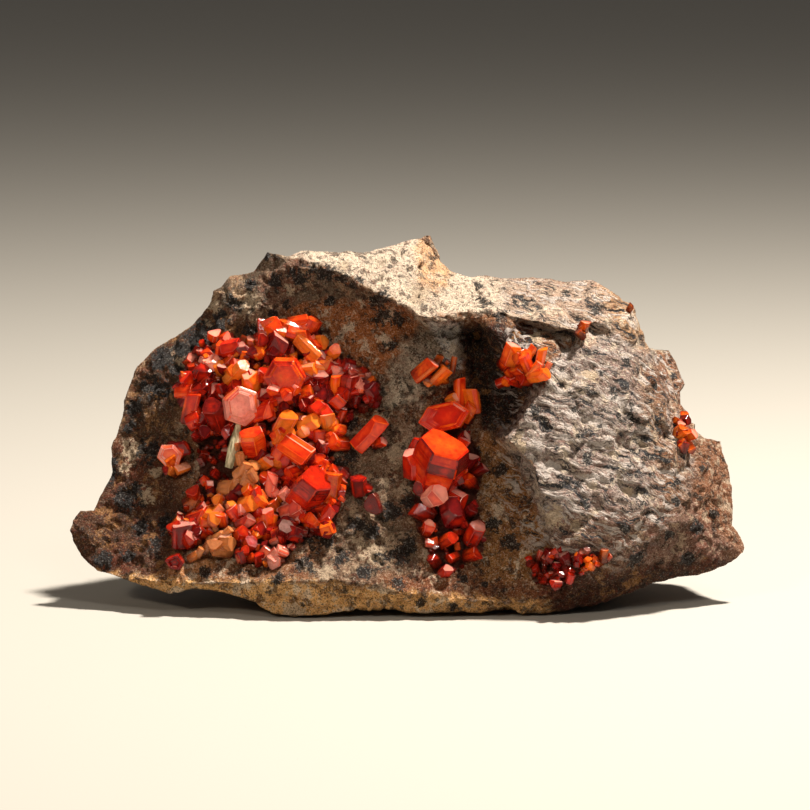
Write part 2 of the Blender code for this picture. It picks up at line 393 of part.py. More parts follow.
LOWER_RIGHT_CRYSTALS = (
    (53.4, 56.8, 1.4, 1.8, 120, 45, 0.4), (54.6, 55.6, 1.6, 2.0, 60, 45, 0.4),
    (55.4, 57.0, 1.4, 1.8, 30, 50, 0.4), (56.6, 56.0, 1.4, 1.8, 100, 40, 0.4),
    (57.9, 55.5, 1.2, 1.7, 40, 45, 0.3), (54.2, 58.0, 1.2, 1.6, 250, 55, 0.3),
    (56.4, 57.4, 1.2, 1.6, 300, 50, 0.3), (59.9, 55.4, 1.3, 1.9, 60, 40, 0.4),
    (58.9, 56.2, 1.0, 1.4, 20, 45, 0.3), (53.0, 55.8, 1.1, 1.6, 150, 45, 0.3),
)
LOWER_RIGHT_OUTLINE = (
    (52.4, 55.4), (54.6, 54.6), (57.4, 54.8), (60.2, 54.6), (60.6, 56.2), (57.8, 57.2),
    (55.4, 58.4), (53.0, 58.2),
)

RIGHT_EDGE_CRYSTALS = (
    (68.0, 43.2, 1.1, 1.6, 60, 40, 0.4), (69.0, 43.6, 1.1, 1.6, 20, 40, 0.4),
    (68.2, 44.6, 1.0, 1.5, 120, 40, 0.3), (69.0, 44.8, 0.9, 1.3, 300, 50, 0.3),
    (68.6, 41.8, 0.9, 1.3, 80, 40, 0.3), (67.8, 42.2, 0.8, 1.2, 140, 40, 0.2),
)
RIGHT_EDGE_OUTLINE = ((67.6, 41.6), (69.0, 41.6), (69.4, 43.4), (69.2, 45.0), (67.8, 44.8))

# Seeded small crystals that fill each crust: node, how many, smallest and largest width.
FILLERS = {
    "main_cluster": (1, 0.9, 1.3),
    "upper_right_cluster": (1, 0.7, 1.0),
}
FILLER_CLEARANCE = 0.62
FILLER_TRIES = 60

# Pale blade that stands among the main crystals: s, t of its top and foot.
BLADE_TOP = (23.9, 42.4)
BLADE_FOOT = (23.0, 46.7)
BLADE_WIDTH = 0.75
BLADE_THICKNESS = 0.35
BLADE_LIFT = 2.0

RED = (0.62, 0.045, 0.012, 1.0)
ORANGE = (0.80, 0.16, 0.02, 1.0)
DARK_RED = (0.36, 0.02, 0.012, 1.0)
ROCK_BROWN = (0.33, 0.19, 0.12, 1.0)
TAN = (0.50, 0.42, 0.26, 1.0)


def clear_scene():
    """Remove the objects that the startup scene holds."""
    for found in list(bpy.data.objects):
        bpy.data.objects.remove(found, do_unlink=True)


def surface_material(name, colour, roughness, metallic=0.0):
    """Return a Principled material with one colour, roughness and metallic value."""
    material = bpy.data.materials.new(name)
    material.use_nodes = True
    shader = material.node_tree.nodes["Principled BSDF"]
    shader.inputs["Base Color"].default_value = colour
    shader.inputs["Roughness"].default_value = roughness
    shader.inputs["Metallic"].default_value = metallic
    material.diffuse_color = colour
    return material


def direction(turn, lean):
    """Unit vector of an axis in the survey's right, up and forward directions, in object axes."""
    flat = math.cos(math.radians(lean))
    right = math.cos(math.radians(turn)) * flat
    up = math.sin(math.radians(turn)) * flat
    forward = math.sin(math.radians(lean))
    return Vector((
        right,
        up * math.sin(VIEW_TILT) - forward * math.cos(VIEW_TILT),
        up * math.cos(VIEW_TILT) + forward * math.sin(VIEW_TILT),
    ))


def placed(s, t, d):
    """Object coordinates, in metres, of a survey point."""
    up = SURVEY_FLOOR - t
    return Vector((
        s - SURVEY_MIDDLE,
        up * math.sin(VIEW_TILT) + d * math.cos(VIEW_TILT),
        up * math.cos(VIEW_TILT) - d * math.sin(VIEW_TILT),
    )) * MM


def floor_level(d):
    """Survey t of the floor at depth d."""
    return SURVEY_FLOOR - d * math.tan(VIEW_TILT)


def stepped(line, closed, step):
    """Points along a run of points, with no two further apart than the step."""
    ends = list(line[1:]) + ([line[0]] if closed else [])
    points = []
    for start, end in zip(line, ends):
        start_point = Vector(start)
        end_point = Vector(end)
        parts = max(1, math.ceil((end_point - start_point).to_2d().length / step))
        points += [start_point.lerp(end_point, i / parts) for i in range(parts)]
    if not closed:
        points.append(Vector(line[-1]))
    return points


def inside(point, ring):
    """True where a survey point lies in a closed ring of points."""
    found = False
    for here, there in zip(ring, list(ring[1:]) + [ring[0]]):
        if (here[1] > point[1]) != (there[1] > point[1]):
            crossing = here[0] + (point[1] - here[1]) * (there[0] - here[0]) / (there[1] - here[1])
            if point[0] < crossing:
                found = not found
    return found


def triangulated(points, runs):
    """Delaunay triangles of survey points, kept to the runs of edges and within the outer one."""
    edges = [pair for run in runs for pair in run]
    flat = [Vector((p[0], p[1])) for p in points]
    spots, _, faces, origins, _, _ = delaunay_2d_cdt(flat, edges, [], 1, 1e-5)
    return spots, faces, origins


def chained(first, count, closed):
    """Edges between successive points, and from the last to the first where closed."""
    edges = [(first + i, first + i + 1) for i in range(count - 1)]
    if closed:
        edges.append((first + count - 1, first))
    return edges


def relief(lines, points):
    """Survey tree of the surface stretched over the landmark lines and points."""
    landmarks = []
    runs = []
    for line, closed in lines:
        runs.append(chained(len(landmarks), len(line), closed))
        landmarks += [Vector(p) for p in line]
    landmarks += [Vector(p) for p in points]
    spots, faces, origins = triangulated(landmarks, runs)
    rows = [
        Vector((spot.x, spot.y, landmarks[source[0]].z if source else 0.0))
        for spot, source in zip(spots, origins)
    ]
    known = BVHTree.FromPolygons(
        rows, [f for f in faces if all(origins[i] for i in f)], epsilon=0.0
    )
    for row, source in zip(rows, origins):
        if not source:
            row.z = depth_on(known, row.x, row.y)
    return BVHTree.FromPolygons(rows, faces, epsilon=0.0)


def depth_on(tree, s, t):
    """Depth of a survey surface at s, t, taken from the nearest place where it ends before."""
    hit = tree.ray_cast(Vector((s, t, -200.0)), Vector((0.0, 0.0, 1.0)))[0]
    if hit is None:
        hit = tree.find_nearest(Vector((s, t, 12.0)))[0]
    return hit.z


def sheet(ring, lines, tree, grid, seed, bulge=0.0):
    """Points and triangles of a fine survey sheet: ring and lines kept, a grid between them.

    It also returns each point's place among the ring, line and grid points, in that order.

    A bulge splits each edge that would cut straight across between two ring points, and
    moves its middle back by that much, so that two sheets on one ring share only the ring.
    """
    rows = [p.copy() for p in ring]
    runs = [chained(0, len(ring), True)]
    for line in lines:
        runs.append(chained(len(rows), len(line), False))
        rows += [p.copy() for p in line]
    fixed = [p.to_2d() for p in rows]
    shake = random.Random(seed)
    low_s = min(p.x for p in ring)
    high_s = max(p.x for p in ring)
    low_t = min(p.y for p in ring)
    high_t = max(p.y for p in ring)
    band = grid * math.sqrt(3.0) / 2.0
    clearance = 0.62 * grid
    for row in range(int((high_t - low_t) / band) + 1):
        for column in range(int((high_s - low_s) / grid) + 1):
            s = low_s + (column + 0.5 * (row % 2)) * grid + shake.uniform(-0.2, 0.2) * grid
            t = low_t + row * band + shake.uniform(-0.2, 0.2) * grid
            spot = Vector((s, t))
            if not inside(spot, ring) or min((spot - p).length for p in fixed) < clearance:
                continue
            rows.append(Vector((s, t, depth_on(tree, s, t))))
    spots, faces, origins = triangulated(rows, runs)
    chords = ring_chords(faces, origins, len(ring)) if bulge else []
    while chords:
        for start, end in chords:
            middle = rows[start].lerp(rows[end], 0.5)
            middle.z += bulge
            rows.append(middle)
        spots, faces, origins = triangulated(rows, runs)
        chords = ring_chords(faces, origins, len(ring))
    final = []
    places = []
    for spot, source in zip(spots, origins):
        depth = rows[source[0]].z if source else depth_on(tree, spot.x, spot.y)
        final.append(Vector((spot.x, spot.y, depth)))
        places.append(min(source, default=len(rows)))
    return final, faces, places


def ring_chords(faces, origins, count):
    """Edges of a sheet that join two ring points which aren't neighbours on the ring."""
    found = set()
    for face in faces:
        for here, there in zip(face, list(face[1:]) + [face[0]]):
            first = min(origins[here], default=count)
            second = min(origins[there], default=count)
            if first < count and second < count and (first - second) % count not in (1, count - 1):
                found.add((min(first, second), max(first, second)))
    return sorted(found)


def base_line():
    """Survey points of the resting patch's edge, on the floor."""
    return [(s, floor_level(d), d) for s, d in BASE_RING]


def broken_depth(s, t):
    """Depth of the nearest broken face of the back at s, t."""
    return min(d + (s - at_s) * by_s + (t - at_t) * by_t for at_s, at_t, d, by_s, by_t in BACK_FACES)


def rough(point, size, seed):
    """Rock noise between -1 and 1 at an object point, with the given size in millimetres."""
    spot = point / (size * MM)
    return noise.noise(spot + Vector((seed, seed * 0.7, seed * 1.3)))


def build_matrix(material):
    """Build the block: a front sheet and a back sheet that share the outline."""
    ring = stepped(OUTLINE, True, RING_STEP)
    front_lines = [(line, False) for line in FRONT_LINES.values()]
    front_points = [p for group in FRONT_POINTS.values() for p in group]
    front_tree = relief([(OUTLINE, True)] + front_lines, front_points)
    kept_lines = [stepped(line, False, RING_STEP) for line in FRONT_LINES.values()]
    front = sheet(ring, kept_lines, front_tree, FRONT_GRID, 3)

    base = base_line()
    back_points = [p for group in BACK_POINTS.values() for p in group]
    back_tree = relief([(OUTLINE, True), (base, True)], back_points)
    base_ring = stepped(base, True, BACK_GRID)
    closing = base_ring + [base_ring[0]]
    back = sheet(ring, [closing], back_tree, BACK_GRID, 5, BACK_BULGE)
    broken = len(ring) + len(closing)

    body = bmesh.new()
    kinds = {}
    rim = [body.verts.new(placed(p.x, p.y, p.z)) for p in ring]
    for vertex in rim:
        kinds[vertex] = "rim"
    resting = range(len(ring), len(ring) + len(closing))
    for side, (rows, faces, places) in (("front", front), ("back", back)):
        made = []
        for row, place in zip(rows, places):
            if place < len(rim):
                made.append(rim[place])
                continue
            if side == "back" and place >= broken and not inside(row, base_ring):
                row.z = min(row.z, broken_depth(row.x, row.y))
            vertex = body.verts.new(placed(row.x, row.y, row.z))
            made.append(vertex)
            kinds[vertex] = side
            if side == "back" and (place in resting or inside(row, base_ring)):
                kinds[vertex] = "base"
        for face in faces:
            body.faces.new([made[i] for i in face])
    bmesh.ops.recalc_face_normals(body, faces=body.faces)
    if body.calc_volume(signed=True) < 0:
        bmesh.ops.reverse_faces(body, faces=body.faces)
    body.normal_update()

    moved = []
    for vertex in body.verts:
        kind = kinds[vertex]
        if kind == "base":
            continue
        share = RIM_NOISE_SHARE if kind == "rim" else 1.0
        if kind == "back":
            share = BACK_NOISE_SHARE
        step = BROAD_NOISE * rough(vertex.co, BROAD_NOISE_SIZE, 11)
        step += FINE_NOISE * rough(vertex.co, FINE_NOISE_SIZE, 29)
        moved.append((vertex, vertex.normal * step * share * MM))
    for vertex, shift in moved:
        vertex.co += shift
        vertex.co.z = max(vertex.co.z, LOWEST_UNDERSIDE * MM)
    for vertex in body.verts:
        if kinds[vertex] == "base":
            vertex.co.z = 0.0
    body.normal_update()

    cutter = body.copy()
    toward = Vector((0.0, -math.cos(VIEW_TILT), math.sin(VIEW_TILT)))
    body.verts.index_update()
    cutter.verts.ensure_lookup_table()
    for vertex in body.verts:
        twin = cutter.verts[vertex.index]
        facing = vertex.normal.dot(toward)
        if kinds[vertex] == "front":
            twin.co += toward * (ROCK_GAP * MM / max(facing, STEEPEST_GAP_SHARE))
        elif kinds[vertex] == "rim":
            twin.co += vertex.normal * (ROCK_GAP * MM)
    matrix = placed_object("matrix", body, material)
    clearance = placed_object("matrix_clearance", cutter, material)
    clearance.hide_render = True
    clearance.display_type = "WIRE"
    return matrix, clearance


def placed_object(name, body, material):
    """Make a flat shaded object from a bmesh, and free the bmesh."""
    mesh = bpy.data.meshes.new(name)
    body.to_mesh(mesh)
    body.free()
    mesh.materials.append(material)
    made = bpy.data.objects.new(name, mesh)
    bpy.context.collection.objects.link(made)
    return made


def surface_tree(matrix):
    """Tree of the block's surface, in object coordinates."""
    body = bmesh.new()
    body.from_mesh(matrix.data)
    tree = BVHTree.FromBMesh(body)
    body.free()
    return tree


def seat(tree, s, t):
    """Object point where the line of sight through s, t meets the rock."""
    start = placed(s, t, -60.0)
    aim = (placed(s, t, 0.0) - start).normalized()
    hit = tree.ray_cast(start, aim)[0]
    if hit is None:
        hit = tree.find_nearest(placed(s, t, 12.0))[0]
    return hit


def hexagonal_prism(body, centre, axis, width, length, roll):
    """Add a closed hexagonal prism to a bmesh, a little wider one way than the other."""
    turn = axis.to_track_quat("Z", "Y").to_matrix().to_4x4()
    place = Matrix.Translation(centre) @ turn @ Matrix.Rotation(roll, 4, "Z")
    radius = width / math.sqrt(3.0)
    corners = []
    for step in range(6):
        angle = math.radians(60.0 * step)
        corners.append((radius * math.cos(angle), radius * math.sin(angle) * (1.0 - FLATTENING)))
    low = [body.verts.new(place @ Vector((x, y, -length / 2.0))) for x, y in corners]
    high = [body.verts.new(place @ Vector((x, y, length / 2.0))) for x, y in corners]
    body.faces.new(list(reversed(low)))
    body.faces.new(high)
    for i in range(6):
        after = (i + 1) % 6
        body.faces.new((low[i], low[after], high[after], high[i]))


def crystal_place(tree, crystal):
    """Centre and axis of a crystal seated on the rock."""
    s, t, width, length, turn, lean, lift = crystal
    axis = direction(turn, lean)
    toward = Vector((0.0, -math.cos(VIEW_TILT), math.sin(VIEW_TILT)))
    out = 0.5 * length * math.sin(math.radians(lean)) + SEAT_SHARE * width
    centre = seat(tree, s, t) + toward * ((lift + out * 0.5) * MM)
    return centre, axis


def fill_crystals(name, outline, crystals):
    """Seeded small crystals in an outline, clear of the listed ones."""
    if name not in FILLERS:
        return []
    count, smallest, largest = FILLERS[name]
    chance = random.Random(name)
    added = []
    for _ in range(count):
        for _ in range(FILLER_TRIES):
            s = chance.uniform(min(p[0] for p in outline), max(p[0] for p in outline))
            t = chance.uniform(min(p[1] for p in outline), max(p[1] for p in outline))
            width = chance.uniform(smallest, largest)
            near = any(
                math.hypot(s - c[0], t - c[1]) < FILLER_CLEARANCE * 0.5 * (width + c[2])
                for c in list(crystals) + added
            )
            if inside((s, t), outline) and not near:
                added.append((
                    s, t, width, width * chance.uniform(1.1, 1.7), chance.uniform(0.0, 360.0),
                    chance.uniform(25.0, 70.0), chance.uniform(0.15, 0.5),
                ))
                break
    return added


def crust(name, tree, outline, material):
    """Thin bed that follows the rock inside an outline, rooted in the rock."""
    ring = stepped([(s, t, 0.0) for s, t in outline], True, CRUST_GRID)
    flat_tree = BVHTree.FromPolygons(
        [Vector((-500, -500, 0)), Vector((500, -500, 0)), Vector((0, 500, 0))], [(0, 1, 2)]
    )
    rows, faces, places = sheet(ring, [], flat_tree, CRUST_GRID, 17)
    toward = Vector((0.0, -math.cos(VIEW_TILT), math.sin(VIEW_TILT)))
    body = bmesh.new()
    tops = []
    roots = []
    for row, place in zip(rows, places):
        spot = seat(tree, row.x, row.y)
        thickness = CRUST_RIM_THICKNESS if place < len(ring) else CRUST_THICKNESS
        tops.append(body.verts.new(spot + toward * thickness * MM))
        roots.append(body.verts.new(spot - toward * CRUST_ROOT * MM))
    for face in faces:
        body.faces.new([tops[i] for i in face])
        body.faces.new([roots[i] for i in reversed(face)])
    edge = [edge for edge in body.edges if len(edge.link_faces) == 1]
    bmesh.ops.bridge_loops(body, edges=edge)
    bmesh.ops.recalc_face_normals(body, faces=body.faces)
    return placed_object(name, body, material)


def cut(target, cutter, operation):
    """Apply a Boolean of the target with the cutter."""
    step = target.modifiers.new("step", "BOOLEAN")
    step.object = cutter
    step.operation = operation
    step.solver = "EXACT"
    step.use_self = operation == "UNION"
    apply_modifiers(target)


def apply_modifiers(target):
    """Replace an object's mesh with its evaluated mesh."""
    graph = bpy.context.evaluated_depsgraph_get()
    mesh = bpy.data.meshes.new_from_object(target.evaluated_get(graph))
    target.modifiers.clear()
    target.data = mesh


def build_cluster(name, tree, clearance, outline, crystals, material):
    """Join the crystals of one crust in one solid that stands clear of the rock."""
    bed = crust(name, tree, outline, material)
    body = bmesh.new()
    rolls = random.Random(name + str(ROLL_SEED))
    for crystal in list(crystals) + fill_crystals(name, outline, crystals):
        centre, axis = crystal_place(tree, crystal)
        roll = rolls.uniform(0.0, math.radians(60.0))
        hexagonal_prism(body, centre, axis, crystal[2] * MM, crystal[3] * MM, roll)
    grown = placed_object(name + "_prisms", body, material)
    cut(bed, grown, "UNION")
    bpy.data.objects.remove(grown, do_unlink=True)
    cut(bed, clearance, "DIFFERENCE")
    keep_largest(bed)
    return bed


def keep_largest(target):
    """Drop the loose crumbs that a cut leaves."""
    body = bmesh.new()
    body.from_mesh(target.data)
    bmesh.ops.dissolve_limit(
        body, angle_limit=FLAT_ANGLE, verts=body.verts, edges=body.edges, delimit=set()
    )
    bmesh.ops.triangulate(body, faces=body.faces)
    left = set(body.faces)
    groups = []
    while left:
        group = {left.pop()}
        front = list(group)
        while front:
            face = front.pop()
            for edge in face.edges:
                beyond = left.intersection(edge.link_faces)
                left -= beyond
                group |= beyond
                front += beyond
        groups.append(group)
    groups.sort(key=len)
    crumbs = [face for group in groups[:-1] for face in group]
    bmesh.ops.delete(body, geom=crumbs, context="FACES")
    body.to_mesh(target.data)
    body.free()


def build_hollow_crystal(tree, clearance, material):
    """Build the short crystal at the lower left, whose end face has a hollow in its middle."""
    s, t, width, length = HOLLOW_CRYSTAL[:4]
    centre, axis = crystal_place(tree, HOLLOW_CRYSTAL)
    body = bmesh.new()
    hexagonal_prism(body, centre, axis, width * MM, length * MM, 0.2)
    made = placed_object("hollow_crystal", body, material)
    opening = bmesh.new()
    mouth = centre + axis * (length / 2.0) * MM
    hexagonal_prism(
        opening, mouth, axis, HOLLOW_CRYSTAL_OPENING * MM, 2.0 * HOLLOW_CRYSTAL_DEPTH * MM, 0.2
    )
    cutter = placed_object("hollow_opening", opening, material)
    cut(made, cutter, "DIFFERENCE")
    bpy.data.objects.remove(cutter, do_unlink=True)
    cut(made, clearance, "DIFFERENCE")
    keep_largest(made)
    return made


def blade_body(tree, spare):
    """Pale blade as a bmesh, grown by a spare width all round."""
    top = seat(tree, *BLADE_TOP)
    foot = seat(tree, *BLADE_FOOT)
    toward = Vector((0.0, -math.cos(VIEW_TILT), math.sin(VIEW_TILT)))
    top += toward * BLADE_LIFT * MM
    foot += toward * BLADE_LIFT * MM
    along = (top - foot).normalized()
    side = along.cross(toward).normalized()
    half = (BLADE_WIDTH / 2.0 + spare) * MM
    thick = (BLADE_THICKNESS / 2.0 + spare) * MM
    body = bmesh.new()
    low = foot - along * spare * MM
    high = top + along * spare * MM
    profile = ((-1.0, -0.2), (-0.3, 1.0), (1.0, 0.3), (0.4, -1.0))
    lower = [body.verts.new(low + side * a * half + toward * b * thick) for a, b in profile]
    upper = [
        body.verts.new(high + side * (a * 0.6 + 0.2) * half + toward * b * thick)
        for a, b in profile
    ]
    body.faces.new(lower)
    body.faces.new(list(reversed(upper)))
    for i in range(len(profile)):
        after = (i + 1) % len(profile)
        body.faces.new((lower[i], upper[i], upper[after], lower[after]))
    bmesh.ops.recalc_face_normals(body, faces=body.faces)
    return body


def centre_on_floor(objects):
    """Move all meshes alike, so that the bounding box is centred over the origin."""
    points = [vertex.co for made in objects for vertex in made.data.vertices]
    middle_x = (min(p.x for p in points) + max(p.x for p in points)) / 2.0
    middle_y = (min(p.y for p in points) + max(p.y for p in points)) / 2.0
    shift = Matrix.Translation((-middle_x, -middle_y, 0.0))
    for made in objects:
        made.data.transform(shift)


def build_specimen():
    """Build the block, its crystals and the blade, and centre them over the origin."""
    clear_scene()
    rock = surface_material("matrix_rock", ROCK_BROWN, 0.85)
    red = surface_material("vanadinite_red", RED, 0.12)
    orange = surface_material("vanadinite_orange", ORANGE, 0.14)
    dark = surface_material("vanadinite_dark", DARK_RED, 0.2)
    tan = surface_material("pale_blade", TAN, 0.5)
    matrix, clearance = build_matrix(rock)
    tree = surface_tree(matrix)
    clusters = (
        ("main_cluster", MAIN_OUTLINE, MAIN_CRYSTALS, red),
        ("far_left_crystals", FAR_LEFT_OUTLINE, FAR_LEFT_CRYSTALS, red),
        ("lone_prism", LONE_OUTLINE, LONE_CRYSTALS, red),
        ("pink_topped_crystal", PINK_TOPPED_OUTLINE, PINK_TOPPED_CRYSTALS, dark),
        ("disc_crystal", DISC_OUTLINE, DISC_CRYSTALS, dark),
        ("upper_centre_crystals", UPPER_CENTRE_OUTLINE, UPPER_CENTRE_CRYSTALS, orange),
        ("centre_column", COLUMN_OUTLINE, COLUMN_CRYSTALS, red),
        ("upper_right_cluster", UPPER_RIGHT_OUTLINE, UPPER_RIGHT_CRYSTALS, orange),
        ("pocket_crystal", POCKET_OUTLINE, POCKET_CRYSTALS, orange),
        ("rim_crystal", RIM_OUTLINE, RIM_CRYSTALS, orange),
        ("lower_right_druse", LOWER_RIGHT_OUTLINE, LOWER_RIGHT_CRYSTALS, dark),
        ("right_edge_crystals", RIGHT_EDGE_OUTLINE, RIGHT_EDGE_CRYSTALS, orange),
    )
    made = [matrix]
    for name, outline, crystals, material in clusters:
        made.append(build_cluster(name, tree, clearance, outline, crystals, material))
    made.append(build_hollow_crystal(tree, clearance, dark))
    blade = placed_object("pale_blade", blade_body(tree, 0.0), tan)
    sleeve = placed_object("blade_clearance", blade_body(tree, ROCK_GAP), tan)
    cut(made[1], sleeve, "DIFFERENCE")
    keep_largest(made[1])
    made.append(blade)
    bpy.data.objects.remove(sleeve, do_unlink=True)
    bpy.data.objects.remove(clearance, do_unlink=True)
    centre_on_floor(made)


build_specimen()
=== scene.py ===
"""Visual model of a vanadinite specimen: red hexagonal crystals on a broken block of rock."""

import logging
import math
import random
from dataclasses import dataclass, field
from enum import Enum
from typing import Any, Callable

import bpy
import numpy as np
from mathutils import Matrix, Vector
from mathutils.bvhtree import BVHTree
from mathutils.kdtree import KDTree


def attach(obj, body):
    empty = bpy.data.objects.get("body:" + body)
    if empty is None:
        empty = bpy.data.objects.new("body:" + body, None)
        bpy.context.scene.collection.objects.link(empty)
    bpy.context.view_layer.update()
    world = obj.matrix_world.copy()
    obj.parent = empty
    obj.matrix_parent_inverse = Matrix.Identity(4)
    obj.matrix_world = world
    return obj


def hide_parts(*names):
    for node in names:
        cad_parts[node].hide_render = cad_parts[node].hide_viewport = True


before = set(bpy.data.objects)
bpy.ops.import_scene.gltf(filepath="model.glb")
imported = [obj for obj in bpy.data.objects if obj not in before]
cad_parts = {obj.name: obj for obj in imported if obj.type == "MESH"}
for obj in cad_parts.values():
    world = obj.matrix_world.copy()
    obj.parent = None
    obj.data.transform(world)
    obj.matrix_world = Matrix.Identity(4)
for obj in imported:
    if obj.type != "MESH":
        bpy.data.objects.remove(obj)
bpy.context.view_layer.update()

MM = 0.001
LOG = logging.getLogger("specimen")

Pair = tuple[float, float]
Triple = tuple[float, float, float]
Colour = tuple[float, float, float, float]
Ring = tuple[Pair, ...]


class Tone(Enum):
    """Body colour of a crystal: place on the dark to amber scale, and strength of the painted pale
    reflection on its faces.
    """

    MAROON = (0.0, 0.0)
    DARK = (0.16, 0.0)
    RED = (0.36, 0.0)
    VERMILION = (0.52, 0.0)
    ORANGE = (0.72, 0.0)
    AMBER = (0.86, 0.05)
    # PINK, PEACH and ROSE are red to orange bodies whose pale tint is painted reflection on their facets
    PINK = (0.44, 0.8)
    PEACH = (0.80, 0.45)
    ROSE = (0.46, 0.45)
    TAN = (1.3, 0.1)


class Form(Enum):
    """Shape of a crystal."""

    PRISM = "prism"
    STEPPED = "stepped"
    HOPPER = "hopper"
    BARREL = "barrel"
    GRAIN = "grain"
    TABLET = "tablet"


M, D, R, V, O, A, P, C, Q, T = Tone
HO, BA, TA = Form.HOPPER, Form.BARREL, Form.TABLET


@dataclass(frozen=True)
class Survey:
    """Frame in which places on the front are given, in millimetres.

    s runs to the right, t downwards and d backwards, seen from slightly above the front.
    """

    tilt: float = math.radians(8.0)
    middle: float = 40.8
    floor: float = 62.2
    shift: Pair = (-0.023, -20.3335)

    @property
    def toward(self) -> Vector:
        """Unit vector towards the viewer."""
        return Vector((0.0, -math.cos(self.tilt), math.sin(self.tilt)))

    def tilted(self, first: Any, second: Any) -> tuple[Any, Any]:
        """Turn a rise and a d into the object's depth and height, or those two back."""
        sine, cosine = math.sin(self.tilt), math.cos(self.tilt)
        return first * sine + second * cosine, first * cosine - second * sine

    def placed(self, s: float, t: float, d: float) -> Vector:
        """Return the object point, in metres, of a survey point."""
        depth, height = self.tilted(self.floor - t, d)
        return Vector((s - self.middle + self.shift[0], depth + self.shift[1], height)) * MM

    def axis(self, turn: float, lean: float) -> Vector:
        """Find the way that a crystal points.

        Args:
            turn: turn of its axis in the front view, in degrees from the right.
            lean: lean of its axis towards the viewer, in degrees.

        Returns:
            A unit vector.
        """
        turn, lean = math.radians(turn), math.radians(lean)
        depth, height = self.tilted(math.sin(turn) * math.cos(lean), -math.sin(lean))
        return Vector((math.cos(turn) * math.cos(lean), depth, height))

    def read(self, points: np.ndarray) -> tuple[np.ndarray, np.ndarray, np.ndarray]:
        """Return s, t and d of object points given in metres."""
        mm = points / MM
        up, d = self.tilted(mm[:, 1] - self.shift[1], mm[:, 2])
        return mm[:, 0] + self.middle - self.shift[0], self.floor - up, d


SURVEY = Survey()


def inside(s: Any, t: Any, ring: Ring) -> np.ndarray:
    """Tell which places lie in a ring.

    Args:
        s: places across the front.
        t: places down the front.
        ring: corners of the ring.

    Returns:
        True for each place in it.
    """
    found = np.zeros(np.shape(s), bool)
    for (s0, t0), (s1, t1) in zip(ring, ring[1:] + ring[:1]):
        if t1 != t0:
            found ^= ((t0 > t) != (t1 > t)) & (s < s0 + (t - t0) * (s1 - s0) / (t1 - t0))
    return found


def span(s: np.ndarray, t: np.ndarray, line: Ring) -> np.ndarray:
    """Measure how far places are from an open line.

    Args:
        s: places across the front.
        t: places down the front.
        line: corners of the line.

    Returns:
        The distances, in millimetres.
    """
    away = np.full(len(s), 1e9)
    for (s0, t0), (s1, t1) in zip(line, line[1:]):
        run, fall = s1 - s0, t1 - t0
        share = np.clip(((s - s0) * run + (t - t0) * fall) / (run * run + fall * fall), 0.0, 1.0)
        away = np.minimum(away, np.hypot(s - s0 - share * run, t - t0 - share * fall))
    return away


def covered(s: np.ndarray, t: np.ndarray, ring: Ring, soft: float) -> np.ndarray:
    """Tell how far places belong to the inside of a ring.

    Args:
        s: places across the front.
        t: places down the front.
        ring: corners of the ring.
        soft: width of its soft edge, in millimetres.

    Returns:
        Shares from 0 to 1.
    """
    away = span(s, t, ring + ring[:1])
    return np.clip(np.where(inside(s, t, ring), away, -away) / soft + 0.5, 0.0, 1.0)


def linear(code: str) -> Colour:
    """Return the linear colour of a six digit hex code."""
    parts = [int(code[i : i + 2], 16) / 255.0 for i in (0, 2, 4)]
    low = [p / 12.92 if p <= 0.04045 else ((p + 0.055) / 1.055) ** 2.4 for p in parts]
    return (low[0], low[1], low[2], 1.0)


def activate(*objects: bpy.types.Object) -> None:
    """Select only these objects and make the first one active."""
    bpy.ops.object.select_all(action="DESELECT")
    for item in objects:
        item.select_set(True)
    bpy.context.view_layer.objects.active = objects[0]


def linked(name: str, data: Any) -> bpy.types.Object:
    """Return a new object with this data, added to the scene."""
    made = bpy.data.objects.new(name, data)
    bpy.context.collection.objects.link(made)
    return made


def copied(node: str, name: str) -> bpy.types.Object:
    """Copy a solid and merge its doubled points.

    Args:
        node: name of the solid.
        name: name of the copy.

    Returns:
        The copy, which is active.
    """
    made = linked(name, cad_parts[node].data.copy())
    activate(made)
    bpy.ops.object.mode_set(mode="EDIT")
    bpy.ops.mesh.select_all(action="SELECT")
    bpy.ops.mesh.remove_doubles(threshold=1e-6)
    bpy.ops.mesh.normals_make_consistent(inside=False)
    bpy.ops.object.mode_set(mode="OBJECT")
    return made


def divide(cuts: int, smoothness: float = 0.0) -> None:
    """Divide the active mesh: all its faces, or with one cut those selected.

    Args:
        cuts: how many times each edge is cut.
        smoothness: how far the new points round the surface.
    """
    bpy.ops.object.mode_set(mode="EDIT")
    if cuts > 1:
        bpy.ops.mesh.select_all(action="SELECT")
    bpy.ops.mesh.subdivide(number_cuts=cuts, smoothness=smoothness)
    if cuts > 1:
        bpy.ops.mesh.select_all(action="DESELECT")
    bpy.ops.object.mode_set(mode="OBJECT")


def apply(item: bpy.types.Object, kind: str, settings: dict[str, Any]) -> None:
    """Change a mesh by a modifier.

    Args:
        item: object of the mesh.
        kind: Blender's type name of the modifier.
        settings: properties of the modifier.
    """
    activate(item)
    modifier = item.modifiers.new(kind.lower(), kind)
    for key, value in settings.items():
        setattr(modifier, key, value)
    bpy.ops.object.modifier_apply(modifier=modifier.name)


def dress(item: bpy.types.Object, material: bpy.types.Material) -> None:
    """Give an object one material and no other."""
    item.data.materials.clear()
    item.data.materials.append(material)


def maths(operation: str, swapped: bool = False) -> Callable[["Flow", Any], "Flow"]:
    """Make an operator of Flow.

    Args:
        operation: what the maths node does.
        swapped: True where the other value comes first.

    Returns:
        The operator's method.
    """

    def joined(self: "Flow", other: Any) -> "Flow":
        """Return the maths node's result for this flow and the other value."""
        pair = (other, self) if swapped else (self, other)
        return self.graph.node("ShaderNodeMath", {"operation": operation}, dict(enumerate(pair)))

    return joined


